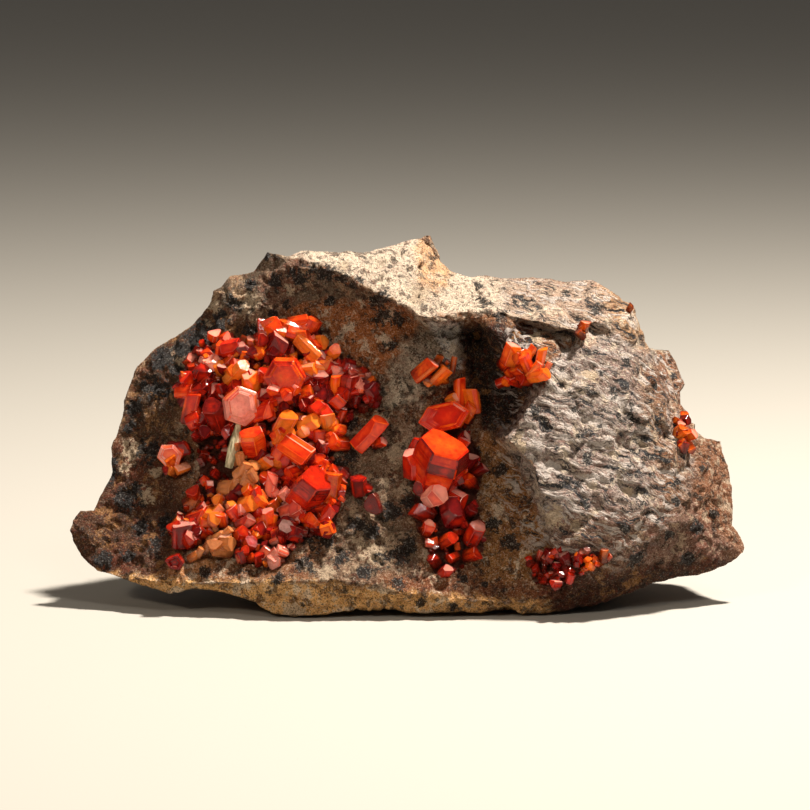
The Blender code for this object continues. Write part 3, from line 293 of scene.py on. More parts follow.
@dataclass(frozen=True)
class Flow:
    """A shader socket that takes part in Python expressions."""

    graph: "Graph"
    socket: bpy.types.NodeSocket

    __add__ = maths("ADD")
    __radd__ = maths("ADD", swapped=True)
    __sub__ = maths("SUBTRACT")
    __rsub__ = maths("SUBTRACT", swapped=True)
    __mul__ = maths("MULTIPLY")

    def step(self, low: float, high: float) -> "Flow":
        """Return a smooth ramp that is 0 at low and 1 at high."""
        inputs = {"Value": self, "From Min": low, "From Max": high}
        return self.graph.node("ShaderNodeMapRange", {"interpolation_type": "SMOOTHSTEP"}, inputs)


@dataclass
class Graph:
    """Node tree of one material."""

    material: bpy.types.Material

    @classmethod
    def new(cls, name: str) -> "Graph":
        """Return the empty tree of a new material."""
        material = bpy.data.materials.new(name)
        material.use_nodes = True
        material.node_tree.nodes.clear()
        return cls(material)

    def node(
        self, kind: str, settings: dict[str, Any], inputs: dict[Any, Any], output: Any = 0
    ) -> Flow:
        """Add a node: its settings first, then its socket values and links.

        Args:
            kind: Blender's type name of the node.
            settings: properties of the node.
            inputs: value, hex colour or Flow for each input socket, by name or number.
            output: name or number of the output socket to return.

        Returns:
            The chosen output socket.
        """
        made = self.material.node_tree.nodes.new(kind)
        for key, value in settings.items():
            setattr(made, key, value)
        for key, value in inputs.items():
            if isinstance(value, Flow):
                self.material.node_tree.links.new(value.socket, made.inputs[key])
            else:
                made.inputs[key].default_value = linear(value) if isinstance(value, str) else value
        return Flow(self, made.outputs[output])

    def mix(self, first: Any, second: Any, factor: Any) -> Flow:
        """Mix two colours."""
        inputs = {0: factor, 6: first, 7: second}
        return self.node("ShaderNodeMix", {"data_type": "RGBA"}, inputs, 2)

    def painted(self, base: Any, *layers: tuple[Any, Flow]) -> Flow:
        """Paint colours over a base one, each as thick as its share says."""
        for colour, share in layers:
            base = self.mix(base, colour, share)
        return base

    def vector(self, operation: str, first: Flow, second: Any) -> Flow:
        """Return the result of vector maths."""
        return self.node("ShaderNodeVectorMath", {"operation": operation}, {0: first, 1: second})

    def place(self, scale: Triple = (1.0, 1.0, 1.0)) -> Flow:
        """Return the object coordinates in millimetres, times a scale."""
        source = self.node("ShaderNodeTexCoord", {}, {}, "Object")
        return self.vector("MULTIPLY", source, tuple(part / MM for part in scale))

    def noise(self, vector: Flow, scale: float, detail: float, rough: float) -> Flow:
        """Return fractal noise between about 0 and 1."""
        inputs = {"Vector": vector, "Scale": scale, "Detail": detail, "Roughness": rough}
        return self.node("ShaderNodeTexNoise", {}, inputs, "Fac")

    def cells(self, vector: Flow, scale: float) -> Flow:
        """Return the distance to the nearest point of a scattered set."""
        inputs = {"Vector": vector, "Scale": scale}
        return self.node("ShaderNodeTexVoronoi", {}, inputs, "Distance")

    def attribute(self, name: str, output: str = "Color") -> Flow:
        """Return an attribute of the mesh."""
        return self.node("ShaderNodeAttribute", {"attribute_name": name}, {}, output)

    def channel(self, name: str, part: str) -> Flow:
        """Return one channel of a colour attribute."""
        return self.node("ShaderNodeSeparateColor", {}, {0: self.attribute(name)}, part)

    def bump(self, height: Flow, strength: float, distance: float) -> Flow:
        """Return a normal bent by a height."""
        inputs = {"Height": height, "Strength": strength, "Distance": distance}
        return self.node("ShaderNodeBump", {}, inputs, "Normal")

    def finish(self, inputs: dict[str, Any]) -> bpy.types.Material:
        """Close the graph with a Principled shader, and return the material."""
        shader = self.node("ShaderNodeBsdfPrincipled", {}, inputs, "BSDF")
        output = self.material.node_tree.nodes.new("ShaderNodeOutputMaterial")
        self.material.node_tree.links.new(shader.socket, output.inputs["Surface"])
        return self.material


RIDGE_TURN = -20.0


@dataclass(frozen=True)
class RockFinish:
    """Mottled rock with black spots and pale patches, painted shade in its pits and painted glints on
    its grains.
    """

    name: str = "matrix_rock"
    black: str = "15120f"
    blue_black: str = "262b31"
    rust: str = "7c3418"
    cream: str = "ecd8bc"
    ochre: str = "a8743f"
    pale: str = "c9b092"
    ash: str = "cdc0b6"
    umber: str = "37251a"
    druse: str = "4a1208"
    # painted shade: near-black colour for the small pits of the grain
    painted_pit_shade: Colour = (0.03, 0.012, 0.005, 1.0)
    # painted highlight: colour of the painted glints
    glint: Colour = (1.0, 0.84, 0.66, 1.0)
    ridge_scale: Triple = (0.34, 0.8, 1.9)
    ridge_sway: float = 3.2

    def material(self) -> bpy.types.Material:
        """Build the material."""
        graph = Graph.new(self.name)
        place = graph.place()
        wide = graph.noise(place, 0.16, 5.0, 0.6)
        middle = graph.noise(place, 0.5, 7.0, 0.68)
        other = graph.noise(place, 0.83, 7.0, 0.7)
        fine = graph.noise(place, 2.1, 6.0, 0.7)
        grain = graph.noise(place, 6.0, 4.0, 0.65)
        along = self.along_slab(graph)
        streaks = graph.noise(along, 0.8, 6.0, 0.66)
        threads = graph.noise(along, 2.3, 4.0, 0.6)
        slab = graph.channel("marks", "Blue")
        calm = 1.0 - slab * 0.6
        light = graph.channel("zone", "Red").step(0.05, 0.42)
        cream = graph.mix(self.ochre, self.cream, light)
        dark = graph.mix(self.black, self.blue_black, grain.step(0.5, 0.6))
        shake = (fine - 0.5) * 3.6 + (middle - 0.5) * 4.2
        patch = graph.channel("marks", "Green") + (fine - 0.5) * 3.4 + (other - 0.5) * 4.0
        spot = (graph.channel("marks", "Red") + shake + slab * 0.4).step(1.12, 0.85)
        salt = graph.cells(graph.place((1.0, 1.0, 1.3)), 1.3).step(0.26, 0.16)
        stray = (graph.cells(place, 0.62) + shake * 0.3).step(0.2, 0.1)
        under = (graph.attribute("druse", "Fac") + shake * 0.15).step(0.2, 0.7)
        base = graph.painted(
            graph.attribute("zone"),
            (self.rust, wide.step(0.48, 0.64) * (0.4 - light * 0.2)),
            (cream, middle.step(0.54, 0.60) * 0.65),
            (self.umber, other.step(0.53, 0.58) * calm * 0.75),
            (self.rust, fine.step(0.53, 0.6) * 0.4),
            (cream, (1.0 - fine).step(0.56, 0.64) * 0.45),
            (self.ash, streaks.step(0.52, 0.57) * slab * 0.85),
            (self.blue_black, streaks.step(0.46, 0.40) * slab * 0.95),
            (self.umber, threads.step(0.46, 0.38) * slab * 0.75),
            (self.pale, patch.step(1.0, 0.7) * 0.8),
            (self.pale, salt * other.step(0.46, 0.56) * calm * (0.25 + light * 0.3)),
            (dark, spot * 0.93),
            (self.black, stray * 0.8),
            # painted shade: near-black where the grain noise, which also sinks the bump, is low
            (self.painted_pit_shade, grain.step(0.47, 0.39) * calm * 0.7),
            # painted glints: bright specks where the grain noise is high, stronger on pale zones
            (self.glint, grain.step(0.56, 0.63) * (0.14 + light * 0.2)),
            # dark red under the crystals: partly the crust's own colour, partly painted shade in the
            # gaps between crystals
            (self.druse, under * 0.85),
        )
        height = (fine + other * 0.9) * calm + grain * 0.5
        height = height + (streaks * 1.5 + threads * 0.8) * slab
        return graph.finish({
            "Base Color": base,
            "Roughness": 0.88 - spot * 0.35 - grain * 0.15,
            "IOR": 1.5,
            "Specular IOR Level": 0.225,
            "Normal": graph.bump(height, 1.0, 0.0011),
        })

    def along_slab(self, graph: Graph) -> Flow:
        """Return coordinates drawn out along the slab's swaying ridges."""
        turned = graph.node(
            "ShaderNodeVectorRotate",
            {"rotation_type": "AXIS_ANGLE"},
            {"Vector": graph.place(), "Axis": (0.0, 1.0, 0.0), "Angle": math.radians(RIDGE_TURN)},
        )
        sway = (graph.noise(graph.place(), 0.35, 3.0, 0.5) - 0.5) * self.ridge_sway
        shift = graph.node("ShaderNodeCombineXYZ", {}, {"Z": sway}, "Vector")
        return graph.vector("MULTIPLY", graph.vector("ADD", turned, shift), self.ridge_scale)


@dataclass(frozen=True)
class CrystalFinish:
    """Glossy, translucent vanadinite whose colour follows each crystal's tone, with painted shade
    towards each crystal's seat, painted reflections on some facets and a painted glow.
    """

    name: str
    maroon: Colour = (0.16, 0.006, 0.006, 1.0)
    red: Colour = (0.62, 0.020, 0.005, 1.0)
    vermilion: Colour = (0.90, 0.070, 0.008, 1.0)
    orange: Colour = (0.95, 0.175, 0.012, 1.0)
    amber: Colour = (0.84, 0.22, 0.025, 1.0)
    tan: Colour = (0.58, 0.20, 0.06, 1.0)
    # painted reflection: pale pink laid on facets in place of reflected light
    painted_reflection: Colour = (0.95, 0.49, 0.37, 1.0)
    # painted shade: dark colour laid over each crystal towards its seat
    painted_shade: Colour = (0.07, 0.006, 0.002, 1.0)
    unlit: Colour = (0.0, 0.0, 0.0, 1.0)

    def material(self) -> bpy.types.Material:
        """Build the material."""
        graph = Graph.new(self.name)
        place = graph.place()
        cloud = graph.noise(place, 0.9, 4.0, 0.6)
        fine = graph.noise(place, 3.5, 4.0, 0.65)
        # painted glow: the middle of each face, where the crystals are painted brighter and glow most
        painted_glow_centre = graph.attribute("painted_glow_centre", "Fac").step(0.0, 0.8)
        cracks = graph.cells(graph.place((1.0, 1.0, 0.6)), 1.6).step(0.15, 0.55)
        # painted glow: the middle of each face is shifted towards orange
        tone = graph.channel("tone", "Red") + (cloud - 0.5) * 0.5 + painted_glow_centre * 0.1 - 0.06
        tone = tone + (cracks - 0.5) * 0.08
        painted_reflection = graph.channel("tone", "Green")
        shade = graph.channel("tone", "Blue") + (fine - 0.5) * 0.6
        base = graph.painted(
            self.maroon,
            (self.red, tone.step(0.0, 0.32)),
            (self.vermilion, tone.step(0.3, 0.55)),
            (self.orange, tone.step(0.52, 0.78)),
            (self.amber, tone.step(0.78, 1.0)),
            (self.tan, tone.step(1.08, 1.25)),
            # painted reflection: pale pink on the facets chosen in tint
            (self.painted_reflection, painted_reflection * (0.35 + cloud * 0.6)),
            # painted shade: darker towards each crystal's seat, plus a random darkening per crystal
            (self.painted_shade, shade.step(0.12, 0.85) * 0.92),
        )
        return graph.finish({
            "Base Color": base,
            "Roughness": painted_reflection * 0.2 + fine * 0.1,
            "IOR": 1.5,
            "Specular IOR Level": 0.22,
            "Subsurface Weight": 0.1,
            "Subsurface Radius": (1.0, 0.22, 0.06),
            "Subsurface Scale": 0.0009,
            "Transmission Weight": 0.42,
            # painted glow: the crystals give off a little light of their own colour, most in the middle
            # of each face, in place of light passing through them
            "Emission Color": graph.mix(self.unlit, base, painted_glow_centre * 0.7 + 0.3),
            "Emission Strength": 0.17,
            "Normal": graph.bump(fine * 0.5 + cloud * 0.8, 0.16, 0.0003),
        })


@dataclass(frozen=True)
class BladeFinish:
    """Dull tan mineral blade."""

    name: str = "pale_blade"
    light: str = "cbbf9c"
    dark: str = "6d6140"

    def material(self) -> bpy.types.Material:
        """Build the material."""
        graph = Graph.new(self.name)
        streaks = graph.noise(graph.place((3.0, 3.0, 0.6)), 1.0, 4.0, 0.6)
        return graph.finish({
            "Base Color": graph.mix(self.dark, self.light, streaks.step(0.35, 0.65)),
            "Roughness": 0.55 + streaks * 0.2,
            "Normal": graph.bump(streaks, 0.4, 0.0002),
        })


@dataclass(frozen=True)
class FloorFinish:
    """Plain pale studio floor."""

    name: str = "studio_floor"
    colour: str = "9c978e"

    def material(self) -> bpy.types.Material:
        """Build the material."""
        return Graph.new(self.name).finish({"Base Color": self.colour, "Roughness": 0.8})


@dataclass(frozen=True)
class Region:
    """Broad colour of one region of the front, painted over earlier ones.

    Args:
        code: hex code of the colour.
        ring: outline of the region.
        soft: width of its soft edge, in millimetres.
    """

    code: str
    ring: Ring
    soft: float


FRONT_CODE = "986540"
BACK_CODE = "9c7a5e"
SLAB_RING = (
    (54, 38.5), (56, 35), (59, 34.5), (62.5, 33), (64, 32), (66, 35.5), (67.2, 40), (67, 44), (69, 45),
    (69, 48), (70, 52), (73.4, 54.6), (70, 56), (64, 56), (57.5, 55.5), (55, 54.5), (54, 52), (53, 49),
    (51, 45.5), (50, 43.7), (51.2, 42.5),
)
TOP_RING = (
    (27.4, 22), (45, 20), (48, 25), (66, 25), (67, 34), (63, 34.6), (59, 34.2), (56, 34), (53, 32.2),
    (50, 31.4), (46, 31.4), (42, 32), (41, 31), (38.5, 29.8), (35.5, 28.4), (33, 26.8), (30, 25.8),
    (28, 25.3),
)
REGIONS = (
    Region("553a24", (
        (10.5, 48), (12, 40), (15, 34), (20, 29), (26, 33), (22, 36), (18, 40), (17, 48),
    ), 1.6),
    Region("52301b", ((5, 51), (11, 46), (18, 48), (20, 58), (10, 60), (5, 58)), 1.6),
    Region("75604c", (
        (19, 30), (24, 26), (26.5, 23), (30, 25.8), (35, 28.5), (38, 30), (36, 31.5), (30, 31),
        (25, 32),
    ), 0.9),
    Region("b46a38", (
        (28, 31), (31, 30.2), (38, 30), (41, 31), (42, 32.4), (40, 34), (39.5, 35.5), (38, 37.5),
        (37.5, 41), (34.5, 37.5), (31, 33),
    ), 0.8),
    Region("f2dcc2", TOP_RING, 0.5),
    Region("c2a48c", ((50.5, 26), (58, 25.4), (66, 25), (67, 34), (59, 34.2), (53, 32), (50, 31)), 1.6),
    Region("efbd8e", ((41.4, 24.6), (43.2, 22), (45.6, 27), (44, 29.2), (42, 28.6)), 0.8),
    Region("aa937c", (
        (40.5, 34), (43, 32.4), (45.8, 32.6), (46, 35.5), (45, 38), (42, 40), (38.5, 41.2), (38, 39),
    ), 0.9),
    # painted shadow: the recess left of the slab, near black
    Region("140c07", (
        (45.8, 32.2), (53.3, 32.8), (54.2, 38.4), (51.2, 42.4), (50, 43.9), (48.3, 43), (47, 38),
        (46.2, 35),
    ), 0.5),
    # painted light: the wedge facet under the lip, near white
    Region("f6ece0", ((42.6, 32.2), (46, 32.3), (46.1, 36.4), (44.6, 37.4), (44.2, 34.6)), 0.5),
    # painted light: a small pale facet below the wedge
    Region("cdbba2", ((39.4, 38.2), (42.6, 37.8), (41.8, 40.6), (39.2, 41)), 0.7),
    Region("a59388", SLAB_RING, 0.4),
    Region("90694c", (
        (63.5, 36), (66.5, 36), (67.2, 40), (67, 44), (69, 45), (69, 48), (70, 52), (66, 53),
        (64.5, 44),
    ), 2.0),
    Region("876554", (
        (54.4, 51.5), (62, 51), (69, 50.5), (76, 54), (70, 57), (57, 56), (55, 54.5),
    ), 2.0),
    Region("966444", (
        (66, 34), (69, 34), (71, 40), (74, 41.5), (76, 55), (73.4, 54.6), (70, 52), (69, 48), (69, 45),
        (67, 44), (67.2, 40),
    ), 1.0),
    Region("c2946a", ((60, 27), (66, 28), (66, 34), (64.5, 35), (62.5, 34), (61, 32)), 1.2),
    Region("a8733f", (
        (48, 43), (50, 44), (51, 46), (53, 49.5), (54, 52.5), (55, 55), (53, 57), (53, 59), (48, 59),
        (48.4, 52), (47.8, 47),
    ), 0.6),
    Region("836a52", (
        (34.5, 44), (38, 41.5), (41, 42), (41, 50), (42, 55), (42, 58), (34, 58), (31, 57), (33.5, 53),
        (35, 50),
    ), 1.2),
    Region("86522f", ((38, 57), (48, 58), (56, 57.5), (56, 61), (46, 61), (38, 59)), 1.0),
    # painted shade: the undercut at the lower right, dark brown
    Region("452a1b", ((54, 58.2), (58, 57), (66, 56.2), (74, 55.6), (76, 60), (54, 62)), 0.8),
    Region("c88a56", (
        (15.6, 57.6), (18.6, 55.6), (22, 53.2), (25.4, 52), (25.2, 54.2), (21, 57), (17, 59),
    ), 0.9),
    Region("eab06a", (
        (8, 57), (20, 57.8), (26, 57.8), (33, 57.9), (40, 58.8), (48, 59.3), (55, 59.8), (55, 64),
        (8, 64),
    ), 0.6),
)

BLACK_SPOTS = (
    (16, 35.7, 1.2), (15.6, 38.9, 1.25), (13.1, 40.7, 0.95), (12.7, 42.8, 0.7), (14.7, 45, 1.15),
    (14.2, 38.7, 0.6), (12.9, 49.7, 1.35), (10.5, 55.9, 0.8), (12.9, 55.5, 0.55), (15.4, 54.1, 0.8),
    (14.1, 52.6, 0.9), (16.5, 52.5, 0.9), (20.7, 57.1, 0.6), (20, 33.6, 1.7), (18, 34.8, 0.9),
    (20, 35.2, 0.7), (23.4, 30.1, 0.9), (25, 28.5, 0.6), (27.5, 28, 0.65), (28.6, 30.5, 0.55),
    (27.2, 31.5, 0.6), (30, 27.8, 1.1), (33, 30.1, 0.55), (25.5, 33, 1.1), (22, 32.1, 1.1),
    (37.8, 30.1, 1), (31.2, 26.9, 0.8), (32.6, 27.3, 0.9), (34.2, 27.9, 0.9), (35.4, 28.3, 0.7),
    (26.7, 25.4, 0.5), (38.6, 31.7, 0.9), (39.6, 31.8, 0.8), (38.8, 34.4, 0.7), (30.5, 53.2, 1.1),
    (32.8, 54, 0.9), (30.5, 56.2, 0.9), (34.2, 55.7, 0.75), (35.7, 52.2, 1), (39.2, 51, 0.95),
    (39.2, 55.2, 1.2), (37.2, 53, 0.7), (33.8, 46.4, 0.9), (35.2, 42.4, 0.9), (35.2, 45.6, 0.7),
    (28, 57.7, 0.6), (36.4, 57, 0.7), (34, 44.8, 0.8), (10.8, 47.6, 0.8), (11.2, 46.2, 0.5),
    (17.6, 37, 0.6), (24.2, 26.8, 0.5), (56.7, 29.2, 0.65), (52.5, 30.5, 0.7), (51.4, 30.2, 0.5),
    (59.7, 31, 0.8), (58.5, 35, 0.7), (59.4, 35.4, 0.5), (62.5, 36, 0.8), (57.5, 43.5, 0.7),
    (62.7, 41.7, 0.9), (61.6, 41.4, 0.5), (64, 43.7, 0.55), (65.7, 45.2, 0.8), (58.5, 45.6, 0.85),
    (62.5, 46.6, 0.6), (65, 47.1, 0.55), (58.2, 50.4, 0.85), (63.9, 50.2, 0.8), (65.7, 51.7, 0.55),
    (62.2, 52.7, 0.75), (57.5, 48.4, 0.8), (50, 47, 0.75), (49.5, 52.2, 0.7), (51, 54.1, 0.75),
    (67.5, 48.2, 0.6), (67.4, 50, 0.5), (63.2, 55.5, 0.8), (68.5, 55.7, 0.65), (61.2, 39.2, 0.8),
    (53.2, 41.1, 0.7), (41.2, 50.2, 1), (40.7, 54.2, 1), (56, 47.5, 0.5), (48.5, 30.2, 0.6),
    (50, 31.5, 0.8), (47.8, 28.5, 0.5), (53.2, 47.6, 0.5), (60, 37.4, 0.5), (55.6, 38, 0.4),
    (57.2, 41, 0.5), (59.6, 42.6, 0.5), (55.4, 44.8, 0.5), (60.8, 48, 0.5), (66.6, 53.2, 0.5),
    (69.4, 52.8, 0.6), (46.2, 57.6, 0.5), (42, 60, 0.5), (45.3, 60.2, 0.4), (39.8, 58, 0.6),
    (65.4, 38.6, 0.4), (71.4, 51.4, 0.5), (70.4, 46.8, 0.5), (48.4, 58.2, 0.4),
)

PALE_PATCHES = (
    (13, 45.2, 1.1), (17.7, 36, 1.2), (12.3, 46.8, 0.7), (14.7, 49.4, 0.9), (21.5, 30.6, 0.7),
    (24.8, 30.4, 1.3), (39.8, 45, 1.4), (37.6, 55.2, 1.2), (32.6, 57, 1.1), (36, 54, 0.7),
    (38.6, 41.2, 0.9), (59, 37.6, 0.9), (55.2, 51.6, 1.2), (51.4, 44.4, 0.9), (45.4, 35.4, 1),
    (42, 29.4, 1.2), (34.4, 26.6, 0.8), (29.6, 60.6, 1.2), (24, 58.6, 0.7), (42.8, 43.6, 0.7),
    (57.4, 52.6, 0.8), (53.6, 33.8, 0.6), (62.4, 49, 0.6), (40.6, 48.6, 0.8), (20.6, 32.4, 0.6),
    (15.4, 47.2, 0.6), (29, 28.8, 0.7), (38.4, 48.2, 0.6),
)

SLAB_OVAL = (58.5, 40.5, 11.0, 15.5)
SLAB_LEFT = 49.0


def slab_share(s: np.ndarray, t: np.ndarray, facing: np.ndarray) -> np.ndarray:
    """Tell how far places belong to the ridged slab.

    Args:
        s: places across the front.
        t: places down the front.
        facing: how far each place faces the viewer, up to 1.

    Returns:
        Shares from 0 to 1.
    """
    at_s, at_t, reach_s, reach_t = SLAB_OVAL
    shape = ((s - at_s) / reach_s) ** 2 + ((t - at_t) / reach_t) ** 2
    oval = np.minimum(np.clip((1.25 - shape) * 3.0, 0.0, 1.0), (s - SLAB_LEFT) / 2.0)
    return np.clip(np.minimum(oval, facing * 2.0), 0.0, 1.0)


def surface(mesh: bpy.types.Mesh) -> tuple[np.ndarray, np.ndarray]:
    """Read the points of a mesh.

    Args:
        mesh: the mesh.

    Returns:
        The points, and how far each faces the viewer, up to 1.
    """
    values = []
    for name in ("co", "normal"):
        flat = np.empty(len(mesh.vertices) * 3)
        mesh.vertices.foreach_get(name, flat)
        values.append(flat.reshape(-1, 3))
    return values[0], values[1] @ np.array(SURVEY.toward)


@dataclass(frozen=True)
class Ledge:
    """Part of the front that stands out in a sharp step along a line.

    Args:
        ring: outline of the part.
        line: the edge where the step is.
        lift: height of the step, in millimetres.
        reach: distance over which it dies away behind the edge.
        soft: width of the step.
    """

    ring: Ring
    line: Ring
    lift: float
    reach: float
    soft: float = 0.35

    def share(self, s: np.ndarray, t: np.ndarray) -> np.ndarray:
        """Return how far each place is raised, from 0 to 1."""
        wander = 0.2 * np.sin(s * 3.1 + np.sin(t * 2.7)) * np.cos(t * 3.3)
        cover = covered(s + wander, t + wander, self.ring, self.soft)
        return cover * np.exp(-span(s, t, self.line) / self.reach)


@dataclass(frozen=True)
class Relief:
    """One layer of relief.

    Args:
        kind: Blender's type name of the texture.
        size: size of its features, in metres.
        strength: height of a full step, in metres.
        middle: texture value that stays in place.
        group: vertex group that it acts on.
        squash: scale across the ridges' turned frame, below one draws the texture out.
    """

    kind: str
    size: float
    strength: float
    middle: float
    group: str = "weathered"
    squash: Triple | None = None


@dataclass
class RockBlock:
    """The block of matrix rock, detailed from the solid of the same form."""

    finish: RockFinish = RockFinish()
    smooth_rounds: int = 2
    turned_away: float = -0.05
    patch_height: float = 0.15
    side_limit: float = -0.25
    far_off: float = 4.0
    reliefs: tuple[Relief, ...] = (
        Relief("VORONOI", 0.0085, 0.0018, 0.40, "back"),
        Relief("CLOUDS", 0.0046, 0.0015, 0.5, "back"),
        Relief("MUSGRAVE", 0.0042, -0.0011, 0.45, "back"),
        Relief("MUSGRAVE", 0.0034, -0.00045, 0.45),
        Relief("CLOUDS", 0.0014, 0.00055, 0.5, "grainy"),
        Relief("MUSGRAVE", 0.0011, -0.0003, 0.45, "grainy"),
        Relief("CLOUDS", 0.0005, 0.00026, 0.5, "grainy"),
        Relief("CLOUDS", 0.0013, 0.0006, 0.5, "slab", (0.40, 1.0, 1.0)),
        Relief("CLOUDS", 0.0006, 0.00055, 0.5, "slab", (0.26, 1.0, 1.0)),
    )
    ledges: tuple[Ledge, ...] = (
        Ledge(SLAB_RING, (
            (54.2, 38.4), (51.2, 42.4), (50, 43.8), (51, 45.5), (53, 49), (54, 52), (55, 54.5),
        ), 1.1, 4.0),
        Ledge(TOP_RING, (
            (30, 25.8), (33, 26.8), (35.5, 28.4), (38.5, 29.8), (41, 31), (42, 32), (46, 31.4),
            (50, 31.4), (53, 32.2),
        ), 0.8, 2.2),
        Ledge((
            (38, 41.4), (42, 40.2), (45, 38), (46.1, 35.8), (45.9, 32.4), (43, 32.4), (40, 34),
            (37.5, 38),
        ), ((46, 32.4), (46.1, 36), (45, 38), (42, 40.2), (39, 41.2)), 0.7, 2.6),
    )

    def build(self) -> bpy.types.Object:
        """Model the rock and dress it."""
        rock = copied("matrix", "rock")
        self.refine(rock)
        self.weather(rock)
        self.mark(rock.data)
        dress(rock, self.finish.material())
        for face in rock.data.polygons:
            face.use_smooth = True
        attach(rock, "root")
        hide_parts("matrix")
        LOG.info("rock: %d faces", len(rock.data.polygons))
        return rock

    def refine(self, rock: bpy.types.Object) -> None:
        """Divide the faces finely, the front ones most, and soften the creases between them."""
        divide(3)
        for face in rock.data.polygons:
            face.select = face.normal.dot(SURVEY.toward) > self.turned_away
        divide(1)
        self.share_out(rock)
        rounds = {"factor": 0.5, "iterations": self.smooth_rounds, "vertex_group": "weathered"}
        apply(rock, "SMOOTH", rounds)

    def from_rim(self, mesh: bpy.types.Mesh, points: np.ndarray) -> np.ndarray:
        """Measure how far points are from the rim between the front and the back.

        Args:
            mesh: mesh of the rock.
            points: its points.

        Returns:
            The distances, in millimetres.
        """
        least, most = np.ones(len(points)), -np.ones(len(points))
        for face in mesh.polygons:
            turned = face.normal.dot(SURVEY.toward)
            for index in face.vertices:
                least[index] = min(least[index], turned)
                most[index] = max(most[index], turned)
        rim = np.nonzero((least < self.turned_away) & (most > -self.turned_away))[0]
        tree = KDTree(len(rim))
        for index in rim:
            tree.insert(points[index], int(index))
        tree.balance()
        return np.array([tree.find(point)[2] for point in points]) / MM

    def share_out(self, rock: bpy.types.Object) -> None:
        """Make the vertex groups of the reliefs: all above the resting patch, back and slab."""
        points, facing = surface(rock.data)
        away = self.from_rim(rock.data, points)
        height = points[:, 2] / MM - self.patch_height
        s, t, _ = SURVEY.read(points)
        slab = slab_share(s, t, facing)
        open_ground = np.where(height > 0.0, np.clip(0.2 + away * 0.4, 0.0, 1.0), 0.0)
        back = np.minimum((-0.15 - facing) * 3.0, height / 3.0)
        front = np.clip(np.minimum(facing * 3.0, away * 0.4), 0.0, 1.0)
        shares = {
            "weathered": open_ground,
            "grainy": open_ground * (1.0 - slab * 0.8),
            "back": np.minimum(back, (away - 1.5) / 4.0),
            "slab": np.minimum(slab, away * 0.5),
        }
        for number, ledge in enumerate(self.ledges):
            shares[f"ledge_{number}"] = ledge.share(s, t) * front
        for name, share in shares.items():
            group = rock.vertex_groups.new(name=name)
            for index in np.nonzero(share > 0.01)[0]:
                group.add([int(index)], float(min(share[index], 1.0)), "REPLACE")

    def weather(self, rock: bpy.types.Object) -> None:
        """Raise the ledges, then lumps and grains on all but the resting patch."""
        for number, ledge in enumerate(self.ledges):
            step = {"direction": "Y", "strength": -ledge.lift * MM, "mid_level": 0.0}
            apply(rock, "DISPLACE", step | {"vertex_group": f"ledge_{number}"})
        guide = linked("guide", None)
        for number, layer in enumerate(self.reliefs):
            texture = bpy.data.textures.new(f"relief_{number}", layer.kind)
            texture.noise_scale = layer.size
            if layer.kind == "MUSGRAVE":
                texture.musgrave_type = "RIDGED_MULTIFRACTAL"
                texture.octaves = 3.0
            relief = {
                "texture": texture,
                "strength": layer.strength,
                "mid_level": layer.middle,
                "vertex_group": layer.group,
            }
            if layer.squash:
                guide.rotation_euler = (0.0, math.radians(-RIDGE_TURN), 0.0)
                guide.scale = [1.0 / part for part in layer.squash]
                relief |= {"texture_coords": "OBJECT", "texture_coords_object": guide}
                bpy.context.view_layer.update()
            apply(rock, "DISPLACE", relief)
        bpy.data.objects.remove(guide, do_unlink=True)

    def mark(self, mesh: bpy.types.Mesh) -> None:
        """Store the broad colours, among them painted shadow and painted light, and how near each point
        is to a spot or a patch.
        """
        points, facing = surface(mesh)
        s, t, d = SURVEY.read(points)
        wander = 0.35 * np.sin(s * 2.9 + np.sin(t * 2.3) * 2.0) * np.cos(t * 3.7 + d)
        zone = np.tile(np.array(linear(FRONT_CODE)), (len(s), 1))
        for region in REGIONS:
            cover = covered(s + wander, t + wander, region.ring, region.soft)[:, None]
            zone = zone * (1.0 - cover) + np.array(linear(region.code)) * cover
        seen = np.clip((facing - self.side_limit) / 0.3, 0.0, 1.0)[:, None]
        zone = zone * seen + np.array(linear(BACK_CODE)) * (1.0 - seen)
        zone[:, 3] = 1.0
        front = facing > self.side_limit
        marks = np.ones((len(s), 4))
        for column, spots in ((0, BLACK_SPOTS), (1, PALE_PATCHES)):
            nearest = np.full(len(s), self.far_off)
            for at_s, at_t, radius in spots:
                away = np.hypot(s - at_s, (t - at_t) * 1.1) / radius
                nearest = np.minimum(nearest, np.where(front, away, self.far_off))
            marks[:, column] = nearest
        marks[:, 2] = slab_share(s, t, facing)
        # mark the rock under the crystal groups, where it is painted dark red: partly crust colour,
        # partly painted shade in the gaps
        under = np.zeros(len(s))
        for group in GROUPS:
            under[front & inside(s, t, group.ring)] = 1.0
        mesh.attributes.new("druse", "FLOAT", "POINT").data.foreach_set("value", under)
        for name, values in (("zone", zone), ("marks", marks)):
            layer = mesh.color_attributes.new(name, "FLOAT_COLOR", "POINT")
            layer.data.foreach_set("color", values.ravel())


@dataclass(frozen=True)
class Crystal:
    """One crystal.

    Args:
        s: place across the front, in millimetres.
        t: place down the front.
        width: width across the flats.
        length: length along the axis.
        turn: turn of the axis in the front view, in degrees from the right.
        lean: lean of the axis towards the viewer, in degrees.
        lift: how far the crystal stands off its seat.
        tone: body colour and painted reflection.
        form: shape.
    """

    s: float
    t: float
    width: float
    length: float
    turn: float
    lean: float
    lift: float
    tone: Tone
    form: Form = Form.PRISM


